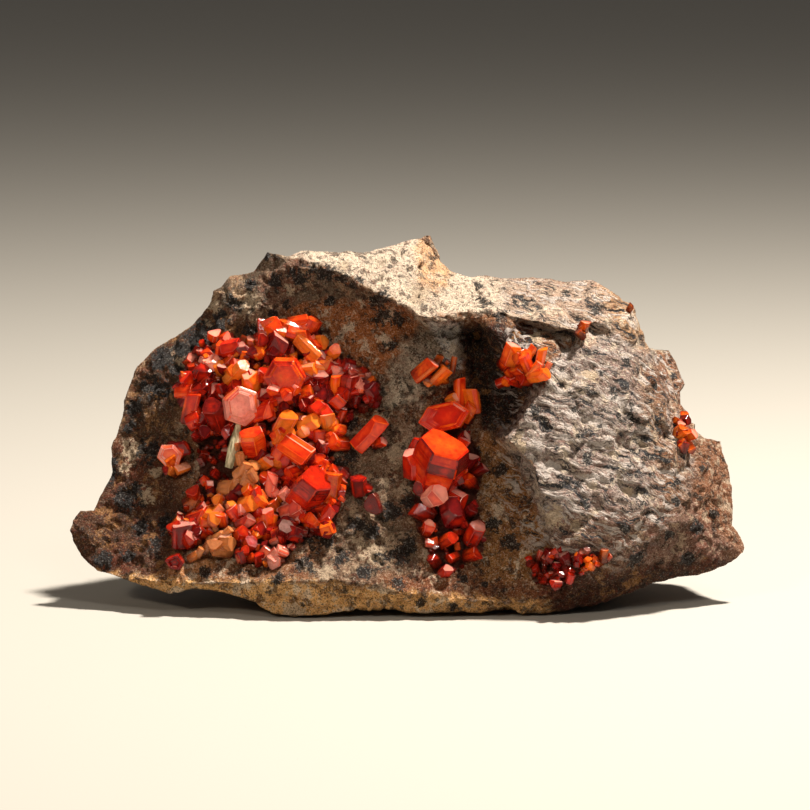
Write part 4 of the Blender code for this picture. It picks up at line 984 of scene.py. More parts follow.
@dataclass
class Habit:
    """Models of the crystal shapes, one unit wide across the flats and one unit long.

    Args:
        edge: width of the bevels.
        variants: how many models each shape has.
        oblique: how many of them have an oblique tip.
        set_back: how many sides of a shape are set back, one where it isn't named.
        plates: way of the face that each shape's plates grow on, and their insets and moves.
        wide: width in millimetres from which no facet gets a painted highlight.
        upper_right: way that the facets with a painted highlight face.
        models: the finished models of each shape.
    """

    edge: float = 0.03
    variants: int = 7
    oblique: int = 3
    set_back: dict[Form, int] = field(
        default_factory=lambda: {Form.PRISM: 3, Form.GRAIN: 3, Form.TABLET: 0}
    )
    plates: dict[Form, tuple[Triple, tuple[tuple[float, Triple], ...]]] = field(
        default_factory=lambda: {
            Form.STEPPED: ((0.0, 0.0, 1.0), ((0.10, (0.0, 0.0, 0.07)), (0.13, (0.02, 0.01, -0.05)))),
            Form.HOPPER: ((0.0, 0.0, 1.0), ((0.17, (0.0, 0.0, -0.2)),)),
            Form.TABLET: ((0.0, -1.0, 0.0), ((0.07, (0.02, -0.05, 0.03)), (0.09, (-0.02, -0.04, 0.04)))),
        }
    )
    wide: float = 3.0
    upper_right: Vector = field(default_factory=lambda: Vector((0.36, -0.42, 0.83)))
    models: dict[Form, list[bpy.types.Mesh]] = field(default_factory=dict)

    def build(self) -> None:
        """Model each shape, in several irregular variants."""
        chance = random.Random(7)
        for form in Form:
            self.models[form] = [self.shaped(form, number, chance) for number in range(self.variants)]

    def shaped(self, form: Form, number: int, chance: random.Random) -> bpy.types.Mesh:
        """Model one variant of a shape.

        Args:
            form: the shape.
            number: number of the variant.
            chance: source of its irregularities.

        Returns:
            A mesh whose attribute "core" is 1 in the middle of its faces.
        """
        bpy.ops.object.select_all(action="DESELECT")
        bpy.ops.mesh.primitive_cylinder_add(vertices=6, radius=1.0 / math.sqrt(3.0), depth=1.0)
        made = bpy.context.active_object
        bpy.ops.object.mode_set(mode="EDIT")
        if form is Form.TABLET:
            self.lay_down()
        for side in range(self.set_back.get(form, 1)):
            angle = math.radians(60.0 * side + 30.0 + 60.0 * chance.randrange(6))
            reach = chance.uniform(0.38, 0.48)
            self.cut((math.cos(angle), math.sin(angle), 0.0), reach)
        if form in (Form.PRISM, Form.GRAIN):
            angle = chance.uniform(0.0, math.tau)
            tip = (math.cos(angle), math.sin(angle), chance.uniform(0.7, 1.6))
            if number < self.oblique:
                self.cut(tip, chance.uniform(0.40, 0.56))
            angle = chance.uniform(0.0, math.tau)
            self.cut((0.16 * math.cos(angle), 0.16 * math.sin(angle), 1.0), 0.44)
        if form in self.plates:
            self.grow(*self.plates[form])
        if form is Form.HOPPER:
            bpy.ops.transform.resize(value=(0.8, 0.8, 1.0), center_override=(0.0, 0.0, 0.3))
        elif form is Form.BARREL:
            self.bulge()
        bpy.ops.mesh.select_all(action="SELECT")
        if form is not Form.GRAIN:
            bpy.ops.mesh.bevel(offset=self.edge, segments=1, affect="EDGES")
            bpy.ops.mesh.select_all(action="SELECT")
        bpy.ops.mesh.normals_make_consistent(inside=False)
        bpy.ops.object.mode_set(mode="OBJECT")
        mesh = made.data
        corners = len(mesh.vertices)
        bpy.ops.object.mode_set(mode="EDIT")
        bpy.ops.mesh.poke()
        bpy.ops.object.mode_set(mode="OBJECT")
        # painted glow: this attribute marks the middle of each face, where the crystal is painted to
        # glow most
        layer = mesh.attributes.new("painted_glow_centre", "FLOAT", "POINT")
        layer.data.foreach_set("value", [float(v.index >= corners) for v in mesh.vertices])
        bpy.data.objects.remove(made, do_unlink=True)
        return mesh

    @staticmethod
    def lay_down() -> None:
        """Turn the prism so that its end faces the viewer and its corners point along it."""
        origin = (0.0, 0.0, 0.0)
        bpy.ops.mesh.select_all(action="SELECT")
        bpy.ops.transform.rotate(value=math.pi / 2.0, orient_axis="X", center_override=origin)
        bpy.ops.transform.resize(value=(1.0, 0.5, math.sqrt(0.75)), center_override=origin)

    @staticmethod
    def cut(normal: Triple, reach: float) -> None:
        """Cut off what lies beyond a plane at this reach from the centre."""
        way = Vector(normal).normalized()
        bpy.ops.mesh.select_all(action="SELECT")
        bpy.ops.mesh.bisect(plane_co=way * reach, plane_no=way, use_fill=True, clear_outer=True)

    @staticmethod
    def grow(way: Triple, plates: tuple[tuple[float, Triple], ...]) -> None:
        """Raise or sink plates on the outermost flat face in a direction.

        Args:
            way: the direction.
            plates: inset and move of each plate.
        """
        axis = Vector(way)
        for inset, move in plates:
            bpy.ops.mesh.select_all(action="DESELECT")
            bpy.ops.object.mode_set(mode="OBJECT")
            faces = bpy.context.active_object.data.polygons
            top = max(face.center.dot(axis) for face in faces) - 1e-4
            for face in faces:
                face.select = face.normal.dot(axis) > 0.99 and face.center.dot(axis) > top
            bpy.ops.object.mode_set(mode="EDIT")
            bpy.ops.mesh.inset(thickness=inset)
            bpy.ops.mesh.extrude_region_move(TRANSFORM_OT_translate={"value": move})

    @staticmethod
    def bulge() -> None:
        """Widen the middle in two growth bands."""
        for level in (-0.28, 0.05, 0.3):
            bpy.ops.mesh.select_all(action="SELECT")
            bpy.ops.mesh.bisect(plane_co=(0.0, 0.0, level), plane_no=(0.0, 0.0, 1.0))
            girth = 1.12 - abs(level) * 0.25
            bpy.ops.transform.resize(value=(girth, girth, 1.0), center_override=(0.0, 0.0, level))

    def placed(self, crystal: Crystal, seat: Vector, chance: random.Random) -> bpy.types.Object:
        """Copy a crystal's model and set it in place with its tone.

        Args:
            crystal: the crystal.
            seat: point of the rock under it.
            chance: source of its small irregularities.

        Returns:
            An object whose mesh is in place.
        """
        mesh = chance.choice(self.models[crystal.form]).copy()
        out = 0.5 * crystal.length * math.sin(math.radians(crystal.lean)) + 0.30 * crystal.width
        centre = seat + SURVEY.toward * (crystal.lift + out * 0.5) * MM
        axis = SURVEY.axis(crystal.turn, crystal.lean)
        across = axis.cross(SURVEY.toward).normalized()
        turn = Matrix((across, axis.cross(across), axis)).transposed().to_4x4()
        spread = 0.1 if crystal.form is Form.TABLET else math.pi / 6.0
        roll = Matrix.Rotation(chance.uniform(-spread, spread), 4, "Z")
        flat = 1.0 - chance.uniform(0.02, 0.30)
        width = crystal.width * MM
        size = Matrix.Diagonal((width, width * flat, crystal.length * MM, 1.0))
        mesh.transform(Matrix.Translation(centre) @ turn @ roll @ size)
        self.tint(mesh, crystal, seat, chance)
        return linked("crystal", mesh)

    def tint(
        self, mesh: bpy.types.Mesh, crystal: Crystal, seat: Vector, chance: random.Random
    ) -> None:
        """Store tone, painted reflection and painted shade in the mesh's colour attribute "tone".

        Args:
            mesh: mesh of the crystal, in place.
            crystal: the crystal.
            seat: point of the rock under it.
            chance: source of the differences between its facets.
        """
        level, painted_reflection = crystal.tone.value
        level += chance.uniform(-0.09, 0.09)
        dim = chance.uniform(0.0, 0.42)
        swing = 0.05 + 0.055 * crystal.width
        # painted shade: points low over the seat are darker; dim darkens the whole crystal at random
        heights = [(v.co - seat).dot(SURVEY.toward) / MM for v in mesh.vertices]
        shades = [min(1.0, max(0.0, 1.05 - height * 0.75)) + dim for height in heights]
        facets: dict[tuple[int, ...], Pair] = {}
        layer = mesh.color_attributes.new("tone", "FLOAT_COLOR", "CORNER")
        for face in mesh.polygons:
            key = tuple(round(part * 3.5) for part in face.normal)
            if key not in facets:
                # painted reflection on some facets, and a painted highlight on small crystals' facets
                # that face the upper right
                painted_reflection_share = painted_reflection * chance.choice((0.25, 1.0, 1.2) if painted_reflection > 0.6 else (0, 0, 1))
                lit = face.normal.dot(self.upper_right) > 0.82 and chance.random() < 0.4
                if lit and crystal.width < self.wide:
                    painted_reflection_share = 0.8
                facets[key] = (level + chance.uniform(-swing, swing), painted_reflection_share)
            for corner in face.loop_indices:
                shade = shades[mesh.loops[corner].vertex_index]
                layer.data[corner].color = (*facets[key], shade, 1.0)


@dataclass
class Ground:
    """Surface of the solid rock, on which crystals are seated."""

    tree: BVHTree

    @classmethod
    def measured(cls) -> "Ground":
        """Read the surface of the solid rock."""
        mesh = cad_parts["matrix"].data
        points = [v.co.copy() for v in mesh.vertices]
        return cls(BVHTree.FromPolygons(points, [tuple(f.vertices) for f in mesh.polygons]))

    def seat(self, s: float, t: float) -> Vector:
        """Find the point of the rock that is seen at a place of the front.

        Args:
            s: place across the front.
            t: place down the front.

        Returns:
            The point, or the nearest one where no rock is seen.
        """
        place = self.tree.ray_cast(SURVEY.placed(s, t, -60.0), -SURVEY.toward)[0]
        if place is None:
            place = self.tree.find_nearest(SURVEY.placed(s, t, 12.0))[0]
        return place


@dataclass
class CrystalGroup:
    """Crystals grown together.

    Args:
        node: name of the solid that they stand for.
        slot: material slot of that solid.
        ring: outline of the crust on the front.
        rows: the crystals that are told apart.
        grains: how many small crystals fill the crust.
        grain_sizes: smallest and largest width of those.
        sparse: places and reach of thin, dark parts of the crust.
    """

    node: str
    slot: str
    ring: Ring
    rows: tuple[tuple[Any, ...], ...]
    grains: int = 0
    grain_sizes: Pair = (0.45, 1.7)
    sparse: tuple[Triple, ...] = ()

    def small(self, listed: list[Crystal], chance: random.Random) -> list[Crystal]:
        """Scatter small crystals over the crust.

        Args:
            listed: the crystals that are told apart, whose tones the small ones near them take.
            chance: source of their places and sizes.

        Returns:
            The small crystals.
        """
        added: list[Crystal] = []
        (low_s, high_s), (low_t, high_t) = [(min(line), max(line)) for line in zip(*self.ring)]
        while len(added) < self.grains:
            s = chance.uniform(low_s, high_s)
            t = chance.uniform(low_t, high_t)
            if not inside(s, t, self.ring):
                continue
            low, high = self.grain_sizes
            width = low + (high - low) * chance.random() ** 2.4
            near = min(listed, key=lambda c: math.hypot(c.s - s, c.t - t))
            alike = chance.random() < 0.5 or near.tone is T
            tone = near.tone if alike else chance.choice((M, M, D, D, R, V, O))
            if tone is A:
                tone = chance.choice((O, Q, V))
            if any(math.hypot(s - at_s, t - at_t) < reach for at_s, at_t, reach in self.sparse):
                tone = chance.choice((M, M, D, R))
                width *= 0.65
            added.append(Crystal(
                s, t, width, width * chance.uniform(0.6, 1.5), chance.uniform(0.0, 180.0),
                chance.triangular(-10.0, 85.0, 25.0), chance.uniform(0.0, 0.9), tone,
                Form.GRAIN if width < 0.8 else Form.PRISM,
            ))
        return added

    def build(
        self, habit: Habit, ground: Ground, finish: bpy.types.Material
    ) -> bpy.types.Object:
        """Grow the crystals and join them in one piece.

        Args:
            habit: models of the crystal shapes.
            ground: the rock that they are seated on.
            finish: their material.

        Returns:
            The piece.
        """
        chance = random.Random(self.node)
        listed = [Crystal(*row) for row in self.rows]
        grown = []
        for crystal in listed + self.small(listed, chance):
            grown.append(habit.placed(crystal, ground.seat(crystal.s, crystal.t), chance))
        activate(*grown)
        if len(grown) > 1:
            bpy.ops.object.join()
        made = grown[0]
        made.name = self.node + "_detail"
        made.data.name = made.name
        dress(made, finish)
        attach(made, "root")
        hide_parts(self.node)
        LOG.info("%s: %d crystals", self.node, len(grown))
        return made


MAIN_RING = (
    (19.4, 34.8), (21.6, 33.4), (24.6, 34.6), (26.6, 32.6), (29.2, 31.6), (31.6, 31.8), (32.6, 34.4),
    (35, 36.2), (38, 38.2), (38, 40.6), (35.4, 41.4), (34, 44.2), (33, 46.4), (34.4, 47.4), (34.2, 50),
    (33.6, 52.6), (30.4, 53.6), (28.8, 55.8), (26.4, 56.4), (23.4, 55.6), (20.8, 54.2), (18, 54.6),
    (17.2, 52.4), (18.6, 50.6), (20, 47.4), (19.8, 44.2), (18.4, 41.4), (17.6, 38.4),
)

MAIN_CRYSTALS = (
    (20.1, 35.3, 0.9, 1.2, 100, 50, 0.3, R), (20.3, 36, 0.8, 1.1, 200, 75, 0.4, P),
    (21, 36.3, 0.9, 1.2, 150, 75, 0.4, P), (22.3, 34.9, 1.6, 1.9, 80, 40, 0.4, V),
    (22.5, 33.8, 1.2, 1.3, 10, 60, 0.3, Q), (22, 36.9, 1.2, 1.8, 110, 40, 0.5, O),
    (23.7, 37.3, 1.4, 3, 45, 30, 0.7, A), (23.5, 35.5, 0.9, 1.3, 30, 30, 0.4, A),
    (24.5, 35.6, 1, 1.7, 70, 35, 0.4, O), (25.7, 35.2, 1.3, 2, 2, 28, 0.5, O),
    (25.5, 37.9, 1.2, 1.6, 120, 30, 0.4, A), (18.8, 38.2, 1.5, 2.1, 120, 40, 0.3, D),
    (20.2, 37.3, 1.6, 2.2, 60, 50, 0.4, D), (21, 38.6, 1.3, 1.8, 150, 45, 0.3, D),
    (19.1, 40.8, 1.5, 3.4, 76, 20, 0.5, R), (21.6, 41.5, 2.1, 3.2, 108, 40, 0.6, M),
    (24.2, 40.6, 3.6, 3.9, 160, 12, 1.1, P, TA), (26.4, 41.1, 1.8, 2.3, 20, 30, 0.9, V),
    (28.6, 37.7, 3.8, 4.2, 60, 12, 1.2, V, TA), (27.5, 38.9, 1.2, 1.5, 240, 50, 2.1, Q),
    (28.7, 39.4, 1.1, 1.4, 290, 55, 2.1, R), (29.5, 38.9, 1, 1.4, 320, 50, 2.1, Q),
    (27.2, 33.1, 0.8, 1.3, 60, 30, 0.2, A), (28.5, 32.8, 1.3, 1.9, 80, 35, 0.4, O),
    (30, 32.2, 1.3, 2.5, 10, 20, 0.5, V), (29.8, 33.5, 1.3, 2.5, 2, 30, 0.6, V),
    (30.9, 34.9, 1.4, 3.3, -45, 20, 0.8, A), (27.6, 34.8, 2.2, 2.9, 60, 30, 0.4, M),
    (31.1, 36.9, 1.5, 1.9, 5, 40, 0.7, C), (32.6, 36.6, 1.4, 1.9, 85, 40, 0.5, O),
    (33.8, 37, 1.1, 1.6, 200, 72, 0.5, P), (34.7, 36.7, 1, 1.5, 120, 78, 0.4, D),
    (34.8, 38.6, 1.9, 2.8, 80, 30, 0.5, D), (33.6, 38.4, 1.1, 2, 85, 30, 0.9, O),
    (35.7, 38.2, 0.9, 1.3, 20, 70, 0.7, P), (37.2, 39.4, 1.4, 2.5, 100, 30, 0.2, M),
    (30.9, 38.4, 0.9, 1.4, 30, 40, 0.8, D), (32.5, 38.8, 1.1, 1.5, 130, 40, 0.5, M),
    (31.1, 39.8, 1.1, 1.5, 220, 50, 0.7, D), (33, 40.2, 1.2, 1.6, 40, 50, 0.4, M),
    (32, 41, 1.6, 1.9, 100, 72, 0.6, R), (31, 42.4, 1.6, 2.3, 28, 30, 0.6, O),
    (32.9, 42.2, 1.5, 2.2, 100, 30, 0.5, O), (34.1, 41.9, 0.9, 2.2, 68, 20, 0.4, R),
    (28.6, 42.2, 1.9, 2.4, 60, 40, 0.9, C), (33, 43.7, 1.2, 1.6, 20, 40, 0.3, V),
    (25.4, 44.2, 2.2, 2.8, 100, 40, 0.8, V, BA), (28.2, 43.9, 1.6, 1.9, 150, 45, 0.7, A),
    (29.8, 45, 2.2, 3.5, -33, 25, 0.9, V), (32.2, 44.9, 1.5, 1.9, 60, 40, 0.4, M),
    (32.2, 46.5, 1.1, 1.7, 30, 30, 0.5, V), (30.9, 48.8, 3.2, 3.8, 52, 40, 0.9, R, BA),
    (33.1, 48.6, 1.9, 3.5, 82, 25, 0.5, V), (27.2, 48.3, 1.4, 2.4, 80, 20, 0.8, Q),
    (25, 49.2, 1.3, 1.7, 130, 40, 0.8, O), (25.9, 50.2, 1.5, 2.1, 40, 35, 0.8, O),
    (29.1, 50.7, 1.4, 2.2, 20, 30, 0.7, P), (32.6, 51.6, 1.3, 2.9, 52, 20, 0.4, R),
    (31.5, 52.2, 1.2, 2.4, 130, 25, 0.4, R), (26.9, 52.2, 1.2, 3.1, 86, 20, 0.7, V),
    (24.7, 52.1, 1.2, 2, 30, 30, 0.6, Q), (26, 53.2, 1, 1.4, 200, 50, 0.6, O),
    (22, 49.9, 1.1, 1.5, 160, 70, 0.5, C), (23.3, 50.6, 1.2, 1.5, 60, 65, 0.6, C),
    (24.2, 50.9, 1.1, 1.5, 20, 65, 0.7, P), (21.2, 51.3, 1.1, 1.5, 240, 60, 0.4, C),
    (19.9, 51.6, 1.6, 2.4, 20, 30, 0.5, V), (18.5, 53.3, 2.3, 2.6, 88, 22, 0.6, D),
    (20.4, 53.2, 1.1, 1.6, 140, 40, 0.4, R), (22.4, 51.8, 1.1, 1.6, 100, 40, 0.5, Q),
    (20.4, 45.6, 0.9, 1.3, 60, 40, 0.2, D), (21.6, 47.4, 0.9, 1.3, 140, 45, 0.2, D),
    (20.3, 48.2, 0.9, 1.3, 20, 45, 0.2, A), (22.6, 45.4, 1, 1.4, 80, 40, 0.3, D),
    (25.1, 54.3, 1.4, 1.9, 50, 50, 0.4, R), (25.3, 55.6, 0.9, 1.2, 20, 50, 0.2, V),
    (27.4, 55.5, 1.1, 2, 45, 20, 0.4, P), (28.6, 54.8, 0.9, 1.3, 300, 75, 0.3, P),
    (26.5, 46.3, 1.3, 1.8, 30, 45, 0.7, O), (23, 43, 1.3, 1.8, 220, 50, 0.6, D),
    (26.6, 39.6, 1.3, 1.9, 160, 40, 0.9, D), (22.4, 38.9, 1.2, 1.7, 200, 50, 0.5, D),
    (25.8, 33.8, 0.9, 1.3, 140, 45, 0.2, D), (29.4, 47.1, 1.2, 1.7, 200, 45, 0.8, R),
    (23.7, 44.9, 0.8, 1.6, 80, 20, 1.6, T), (24.1, 45.8, 0.9, 1.4, 100, 30, 1.6, T),
    (24.6, 46.7, 1, 1.4, 60, 30, 1.6, T), (25.3, 47.5, 1, 1.4, 120, 30, 1.5, T),
    (24, 47.2, 0.9, 1.3, 40, 35, 1.3, T), (23.6, 48.4, 0.9, 1.3, 20, 30, 1, T),
    (24.9, 48.3, 0.8, 1.3, 150, 30, 1.3, T), (19.6, 55.5, 0.8, 1.3, 30, 30, 0.5, T),
    (20.2, 55, 0.8, 1.2, 60, 30, 0.6, T), (20.9, 54.6, 0.9, 1.3, 50, 30, 0.6, T),
    (21.6, 54, 0.8, 1.3, 10, 30, 0.7, T), (22.2, 53.5, 0.9, 1.3, 30, 30, 0.8, T),
    (22.9, 53, 0.8, 1.3, 40, 30, 0.8, T), (21.8, 54.8, 0.8, 1.2, 70, 30, 0.5, T),
)

COLUMN_RING = (
    (44.8, 38.6), (47.2, 38.8), (48, 41), (46.8, 43), (48, 45.6), (48.2, 47.6), (47.4, 50.4),
    (48.4, 52.6), (48.2, 55), (46, 56.6), (43.4, 57.2), (42.8, 55), (41.6, 52.8), (41.4, 50.4),
    (41.6, 48.4), (40.8, 46.2), (41.8, 44.2), (42.6, 42.8), (42.4, 41.4), (44, 40.6),
)

COLUMN_CRYSTALS = (
    (45.9, 39.4, 1.2, 3.4, 90, 10, 0.7, V), (47.2, 40, 1.5, 2.7, 100, 20, 0.6, O),
    (45.2, 39.8, 1, 1.3, 20, 50, 0.6, A), (44.4, 41.7, 2.7, 5.3, 13, 8, 1.2, V, TA),
    (46.8, 41.2, 1.4, 2, 60, 30, 0.9, V), (43.9, 46.2, 4.5, 5, 74, 38, 0.9, D, BA),
    (41.4, 46.3, 2.1, 2.8, 92, 25, 0.6, D), (43.5, 49.5, 2.1, 2.4, 20, 58, 0.9, P),
    (45.7, 49.7, 1.6, 2.2, 330, 38, 0.6, D), (45.2, 51.2, 2.2, 2.6, 280, 30, 0.5, M),
    (42.2, 51.2, 1.7, 2.4, 150, 35, 0.3, D), (42.8, 52.7, 1.3, 1.8, 60, 52, 0.3, Q),
    (44.7, 53.9, 1.3, 2, 30, 40, 0.4, R), (47.4, 53.2, 1.7, 2.4, 64, 30, 0.3, D),
    (42.4, 48.4, 1.2, 2.4, 74, 20, 0.7, R), (45.4, 47.2, 1.1, 2.6, 118, 15, 1.7, D),
    (41.6, 44.6, 1.2, 2, 60, 30, 0.7, D), (45.9, 44.7, 1.2, 2.4, 50, 20, 1.2, R),
    (47.1, 55.3, 1.4, 1.9, 20, 45, 0.4, R), (43.4, 55.9, 1.1, 1.5, 120, 45, 0.3, D),
    (44.5, 56.9, 1.1, 1.5, 40, 50, 0.3, D), (45.2, 55.6, 1, 1.4, 200, 50, 0.3, R),
    (46.7, 46.2, 1.6, 2.2, 60, 40, 0.3, M), (47.9, 47, 1.1, 1.8, 30, 30, 0.2, M),
    (46.9, 48, 1.2, 1.6, 130, 45, 0.4, R), (46.2, 44, 1.3, 1.8, 40, 45, 0.5, D),
    (46.8, 51, 1.2, 1.7, 20, 45, 0.2, M), (42.2, 48.6, 1.3, 1.8, 200, 50, 0.5, D),
)

GROUPS = (
    CrystalGroup(
        "main_cluster", "vanadinite_red", MAIN_RING, MAIN_CRYSTALS, 1150,
        sparse=((20.6, 46.4, 2.8), (22.4, 43.4, 1.8), (31.4, 54.4, 2), (35.6, 40.8, 1.5)),
    ),
    CrystalGroup(
        "far_left_crystals", "vanadinite_red",
        ((16, 44.6), (17.6, 44.2), (18.4, 45.4), (18.2, 47.2), (16.6, 47.2)),
        (
            (17, 45.5, 2.3, 2.4, 70, 10, 0.7, P, TA), (18, 45.2, 1, 1.5, 80, 60, 0.3, Q),
            (18.2, 46.9, 1.1, 1.6, 200, 30, 0.4, A), (17.3, 47.2, 0.9, 1.5, 150, 50, 0.3, A),
        ),
        8,
    ),
    CrystalGroup(
        "hollow_crystal", "vanadinite_dark", ((17.4, 55.4), (18.4, 55.4), (18, 56.4)),
        ((17.8, 55.9, 1.7, 2.2, 250, 84, 0.6, D, HO),),
    ),
    CrystalGroup(
        "lone_prism", "vanadinite_red",
        ((36.2, 43.8), (37.2, 42.8), (38.2, 43.4), (38.2, 44.6), (36.8, 44.8)),
        ((37, 43.3, 1.75, 4, 46, 14, 0.75, V), (37.9, 44.2, 1.1, 1.6, 20, 45, 0.2, R)),
        3,
    ),
    CrystalGroup(
        "pink_topped_crystal", "vanadinite_dark", ((35.2, 48), (36.4, 48), (36.8, 48.9), (35.4, 49)),
        ((35.8, 48.4, 1.8, 2, 95, 38, 0.5, D), (36.6, 48.8, 1, 1.3, 20, 50, 0.2, D)),
    ),
    CrystalGroup(
        "disc_crystal", "vanadinite_dark", ((36.9, 49.8), (37.9, 49.8), (37.4, 50.8)),
        ((37.4, 50.3, 2.1, 1.6, 200, 78, 0.4, M),),
    ),
    CrystalGroup(
        "upper_centre_crystals", "vanadinite_orange",
        ((41.8, 37.2), (42.8, 36.2), (44.8, 36.2), (45.2, 37), (44.2, 38.2), (42.4, 38.2)),
        (
            (42.5, 37, 1.5, 2.8, 40, 25, 0.7, V), (44.1, 37.5, 1.2, 2.3, 45, 25, 0.6, O),
            (43.8, 36, 0.8, 1.3, 60, 30, 0.4, O), (45.3, 36.5, 0.6, 1.8, 80, 15, 0.3, O),
            (43, 38.2, 0.9, 1.3, 200, 45, 0.3, A),
        ),
        10,
    ),
    CrystalGroup(
        "centre_column", "vanadinite_red", COLUMN_RING, COLUMN_CRYSTALS, 120, (0.35, 1.0),
    ),
    CrystalGroup(
        "upper_right_cluster", "vanadinite_orange",
        ((50.4, 35.4), (52.2, 35), (54, 35.6), (54.2, 37.4), (52.6, 38.4), (50.6, 38.4)),
        (
            (51, 35.5, 1.7, 2.4, 70, 35, 0.6, V), (50.7, 38, 1, 2.4, 24, 20, 0.7, Q),
            (53.9, 36.2, 1, 3, 78, 20, 0.5, C), (53.7, 37.6, 1.2, 2.2, 10, 30, 0.6, O),
            (52.4, 36.4, 1.2, 2.3, 112, 35, 0.6, V), (52.2, 37.8, 1.1, 1.8, 200, 45, 0.5, R),
            (50.6, 36.6, 1, 1.9, 140, 30, 0.6, V), (52.8, 35.5, 0.8, 2.2, 60, 20, 0.5, O),
            (54.4, 37, 0.7, 2, 64, 25, 0.4, C), (51.6, 36.9, 1.3, 1.6, 20, 60, 0.8, V),
            (53.2, 36.9, 0.8, 2.1, 48, 30, 0.7, C), (51.4, 38.2, 0.9, 1.8, 160, 30, 0.4, R),
        ),
        24,
    ),
    CrystalGroup(
        "pocket_crystal", "vanadinite_orange", ((57.7, 32.6), (58.5, 32.4), (58.6, 33.4), (57.9, 33.6)),
        ((58.2, 32.9, 1.1, 1.9, 65, 30, 0.3, O), (57.9, 33.5, 0.8, 1.2, 130, 40, 0.2, O)),
        4, (0.35, 0.7),
    ),
    CrystalGroup(
        "rim_crystal", "vanadinite_orange", ((62.8, 30.7), (63.2, 30.7), (63, 31.2)),
        ((63, 30.9, 0.8, 1.3, 60, 40, 0.3, O),),
    ),
    CrystalGroup(
        "lower_right_druse", "vanadinite_dark",
        (
            (52.6, 55.6), (54.6, 54.8), (57.4, 55), (60, 54.8), (60.4, 56), (57.8, 57), (55.4, 58.2),
            (53.2, 58),
        ),
        (
            (53.4, 56.8, 0.9, 1.3, 120, 45, 0.2, D), (54.6, 55.3, 1.2, 1.6, 60, 35, 0.2, D),
            (55.4, 57, 0.9, 1.3, 30, 50, 0.2, D), (56.2, 55.6, 1.1, 1.5, 100, 30, 0.2, M),
            (57.7, 55.2, 0.9, 1.4, 40, 45, 0.2, Q), (54.2, 57.6, 0.8, 1.2, 250, 35, 0.2, D),
            (56.4, 56.8, 0.9, 1.3, 300, 40, 0.2, D), (59.9, 55.2, 0.9, 1.5, 80, 30, 0.3, O),
            (58.9, 55.8, 0.8, 1.2, 20, 45, 0.2, O), (53, 56.2, 0.8, 1.2, 150, 35, 0.2, D),
            (55.4, 54.9, 1, 1.5, 20, 35, 0.2, D), (58.2, 55, 0.7, 1.3, 70, 35, 0.3, P),
            (53.8, 55.3, 0.7, 1.2, 70, 35, 0.3, P), (60.4, 55.5, 0.6, 1.1, 40, 35, 0.2, V),
        ),
        110, (0.3, 0.85),
    ),
    CrystalGroup(
        "right_edge_crystals", "vanadinite_orange",
        ((67.7, 41.8), (68.8, 41.8), (69.2, 43.4), (69, 44.8), (67.9, 44.6)),
        (
            (68, 43.2, 1.1, 1.6, 60, 40, 0.4, O), (69, 43.6, 1.1, 1.6, 20, 40, 0.4, O),
            (68.2, 44.6, 1, 1.5, 120, 40, 0.3, V), (69, 44.8, 0.9, 1.3, 300, 50, 0.3, O),
            (68.6, 41.8, 0.9, 1.3, 80, 40, 0.3, O), (67.8, 42.2, 0.8, 1.2, 140, 40, 0.2, O),
        ),
        16,
    ),
)


@dataclass
class PaleBlade:
    """The tan blade that stands among the main crystals."""

    finish: BladeFinish = BladeFinish()
    ridge_size: float = 0.0006
    ridge_height: float = 0.0002

    def build(self) -> bpy.types.Object:
        """Refine a copy of the solid and dress it."""
        made = copied("pale_blade", "blade")
        divide(4, smoothness=0.3)
        texture = bpy.data.textures.new("blade_ridges", "CLOUDS")
        texture.noise_scale = self.ridge_size
        apply(made, "DISPLACE", {"texture": texture, "strength": self.ridge_height})
        dress(made, self.finish.material())
        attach(made, "root")
        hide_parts("pale_blade")
        LOG.info("blade: %d faces", len(made.data.polygons))
        return made


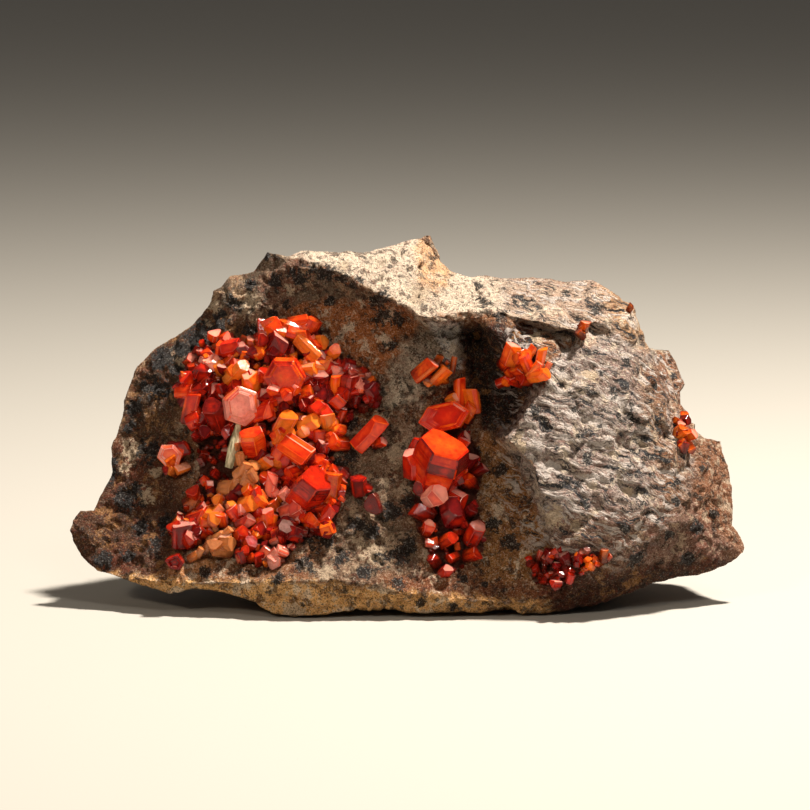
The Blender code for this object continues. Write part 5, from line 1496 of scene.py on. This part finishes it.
@dataclass
class Studio:
    """Floor, soft lights and camera."""

    floor_size: float = 3.0
    lens: float = 200.0
    view_width: float = 81.0
    aim: Triple = (40.5, 40.5, 12.0)
    lamp_aim: Triple = (0.0, 0.0, 0.016)
    sky: Colour = (1.0, 0.95, 0.89, 1.0)
    sky_strength: float = 0.13
    lamps: tuple[tuple[str, Triple, float, float, Triple], ...] = (
        ("key", (0.13, 0.01, 0.36), 0.035, 4.8, (1.0, 0.94, 0.86)),
        ("fill", (-0.24, -0.40, 0.26), 0.05, 0.78, (1.0, 0.86, 0.70)),
        ("spark", (0.16, -0.38, 0.36), 0.11, 0.6, (1.0, 0.94, 0.86)),
    )

    def build(self) -> None:
        """Set the floor, the lights and the camera."""
        bpy.ops.object.select_all(action="DESELECT")
        bpy.ops.mesh.primitive_plane_add(size=self.floor_size, location=(0.0, 0.0, 0.0))
        floor = bpy.context.active_object
        floor.name = "floor"
        floor.data.materials.append(FloorFinish().material())
        world = bpy.data.worlds.new("studio")
        world.use_nodes = True
        back = world.node_tree.nodes["Background"]
        back.inputs["Color"].default_value = self.sky
        back.inputs["Strength"].default_value = self.sky_strength
        bpy.context.scene.world = world
        for name, place, size, power, colour in self.lamps:
            data = bpy.data.lights.new(name, "AREA")
            data.energy = power
            data.size = size
            data.color = colour
            self.aimed(linked(name, data), Vector(place), Vector(self.lamp_aim) - Vector(place))
        bpy.context.scene.view_settings.view_transform = "Standard"
        self.camera()

    @staticmethod
    def aimed(item: bpy.types.Object, place: Vector, way: Vector) -> None:
        """Set a lamp or camera in place, facing a way."""
        item.location = place
        item.rotation_euler = way.to_track_quat("-Z", "Y").to_euler()

    def camera(self) -> None:
        """Add the camera at the photo's angle."""
        data = bpy.data.cameras.new("camera")
        data.lens = self.lens
        data.clip_start = 0.01
        camera = linked("camera", data)
        distance = self.view_width * MM * self.lens / data.sensor_width
        place = SURVEY.placed(*self.aim) + SURVEY.toward * distance
        self.aimed(camera, place, -SURVEY.toward)
        bpy.context.scene.camera = camera


def main() -> None:
    """Build the specimen piece by piece, then the studio."""
    logging.basicConfig(level=logging.INFO, format="%(message)s")
    RockBlock().build()
    habit = Habit()
    habit.build()
    ground = Ground.measured()
    finishes = {
        name: CrystalFinish(name).material()
        for name in ("vanadinite_red", "vanadinite_orange", "vanadinite_dark")
    }
    for group in GROUPS:
        group.build(habit, ground, finishes[group.slot])
    PaleBlade().build()
    Studio().build()


if __name__ == "__main__":
    main()
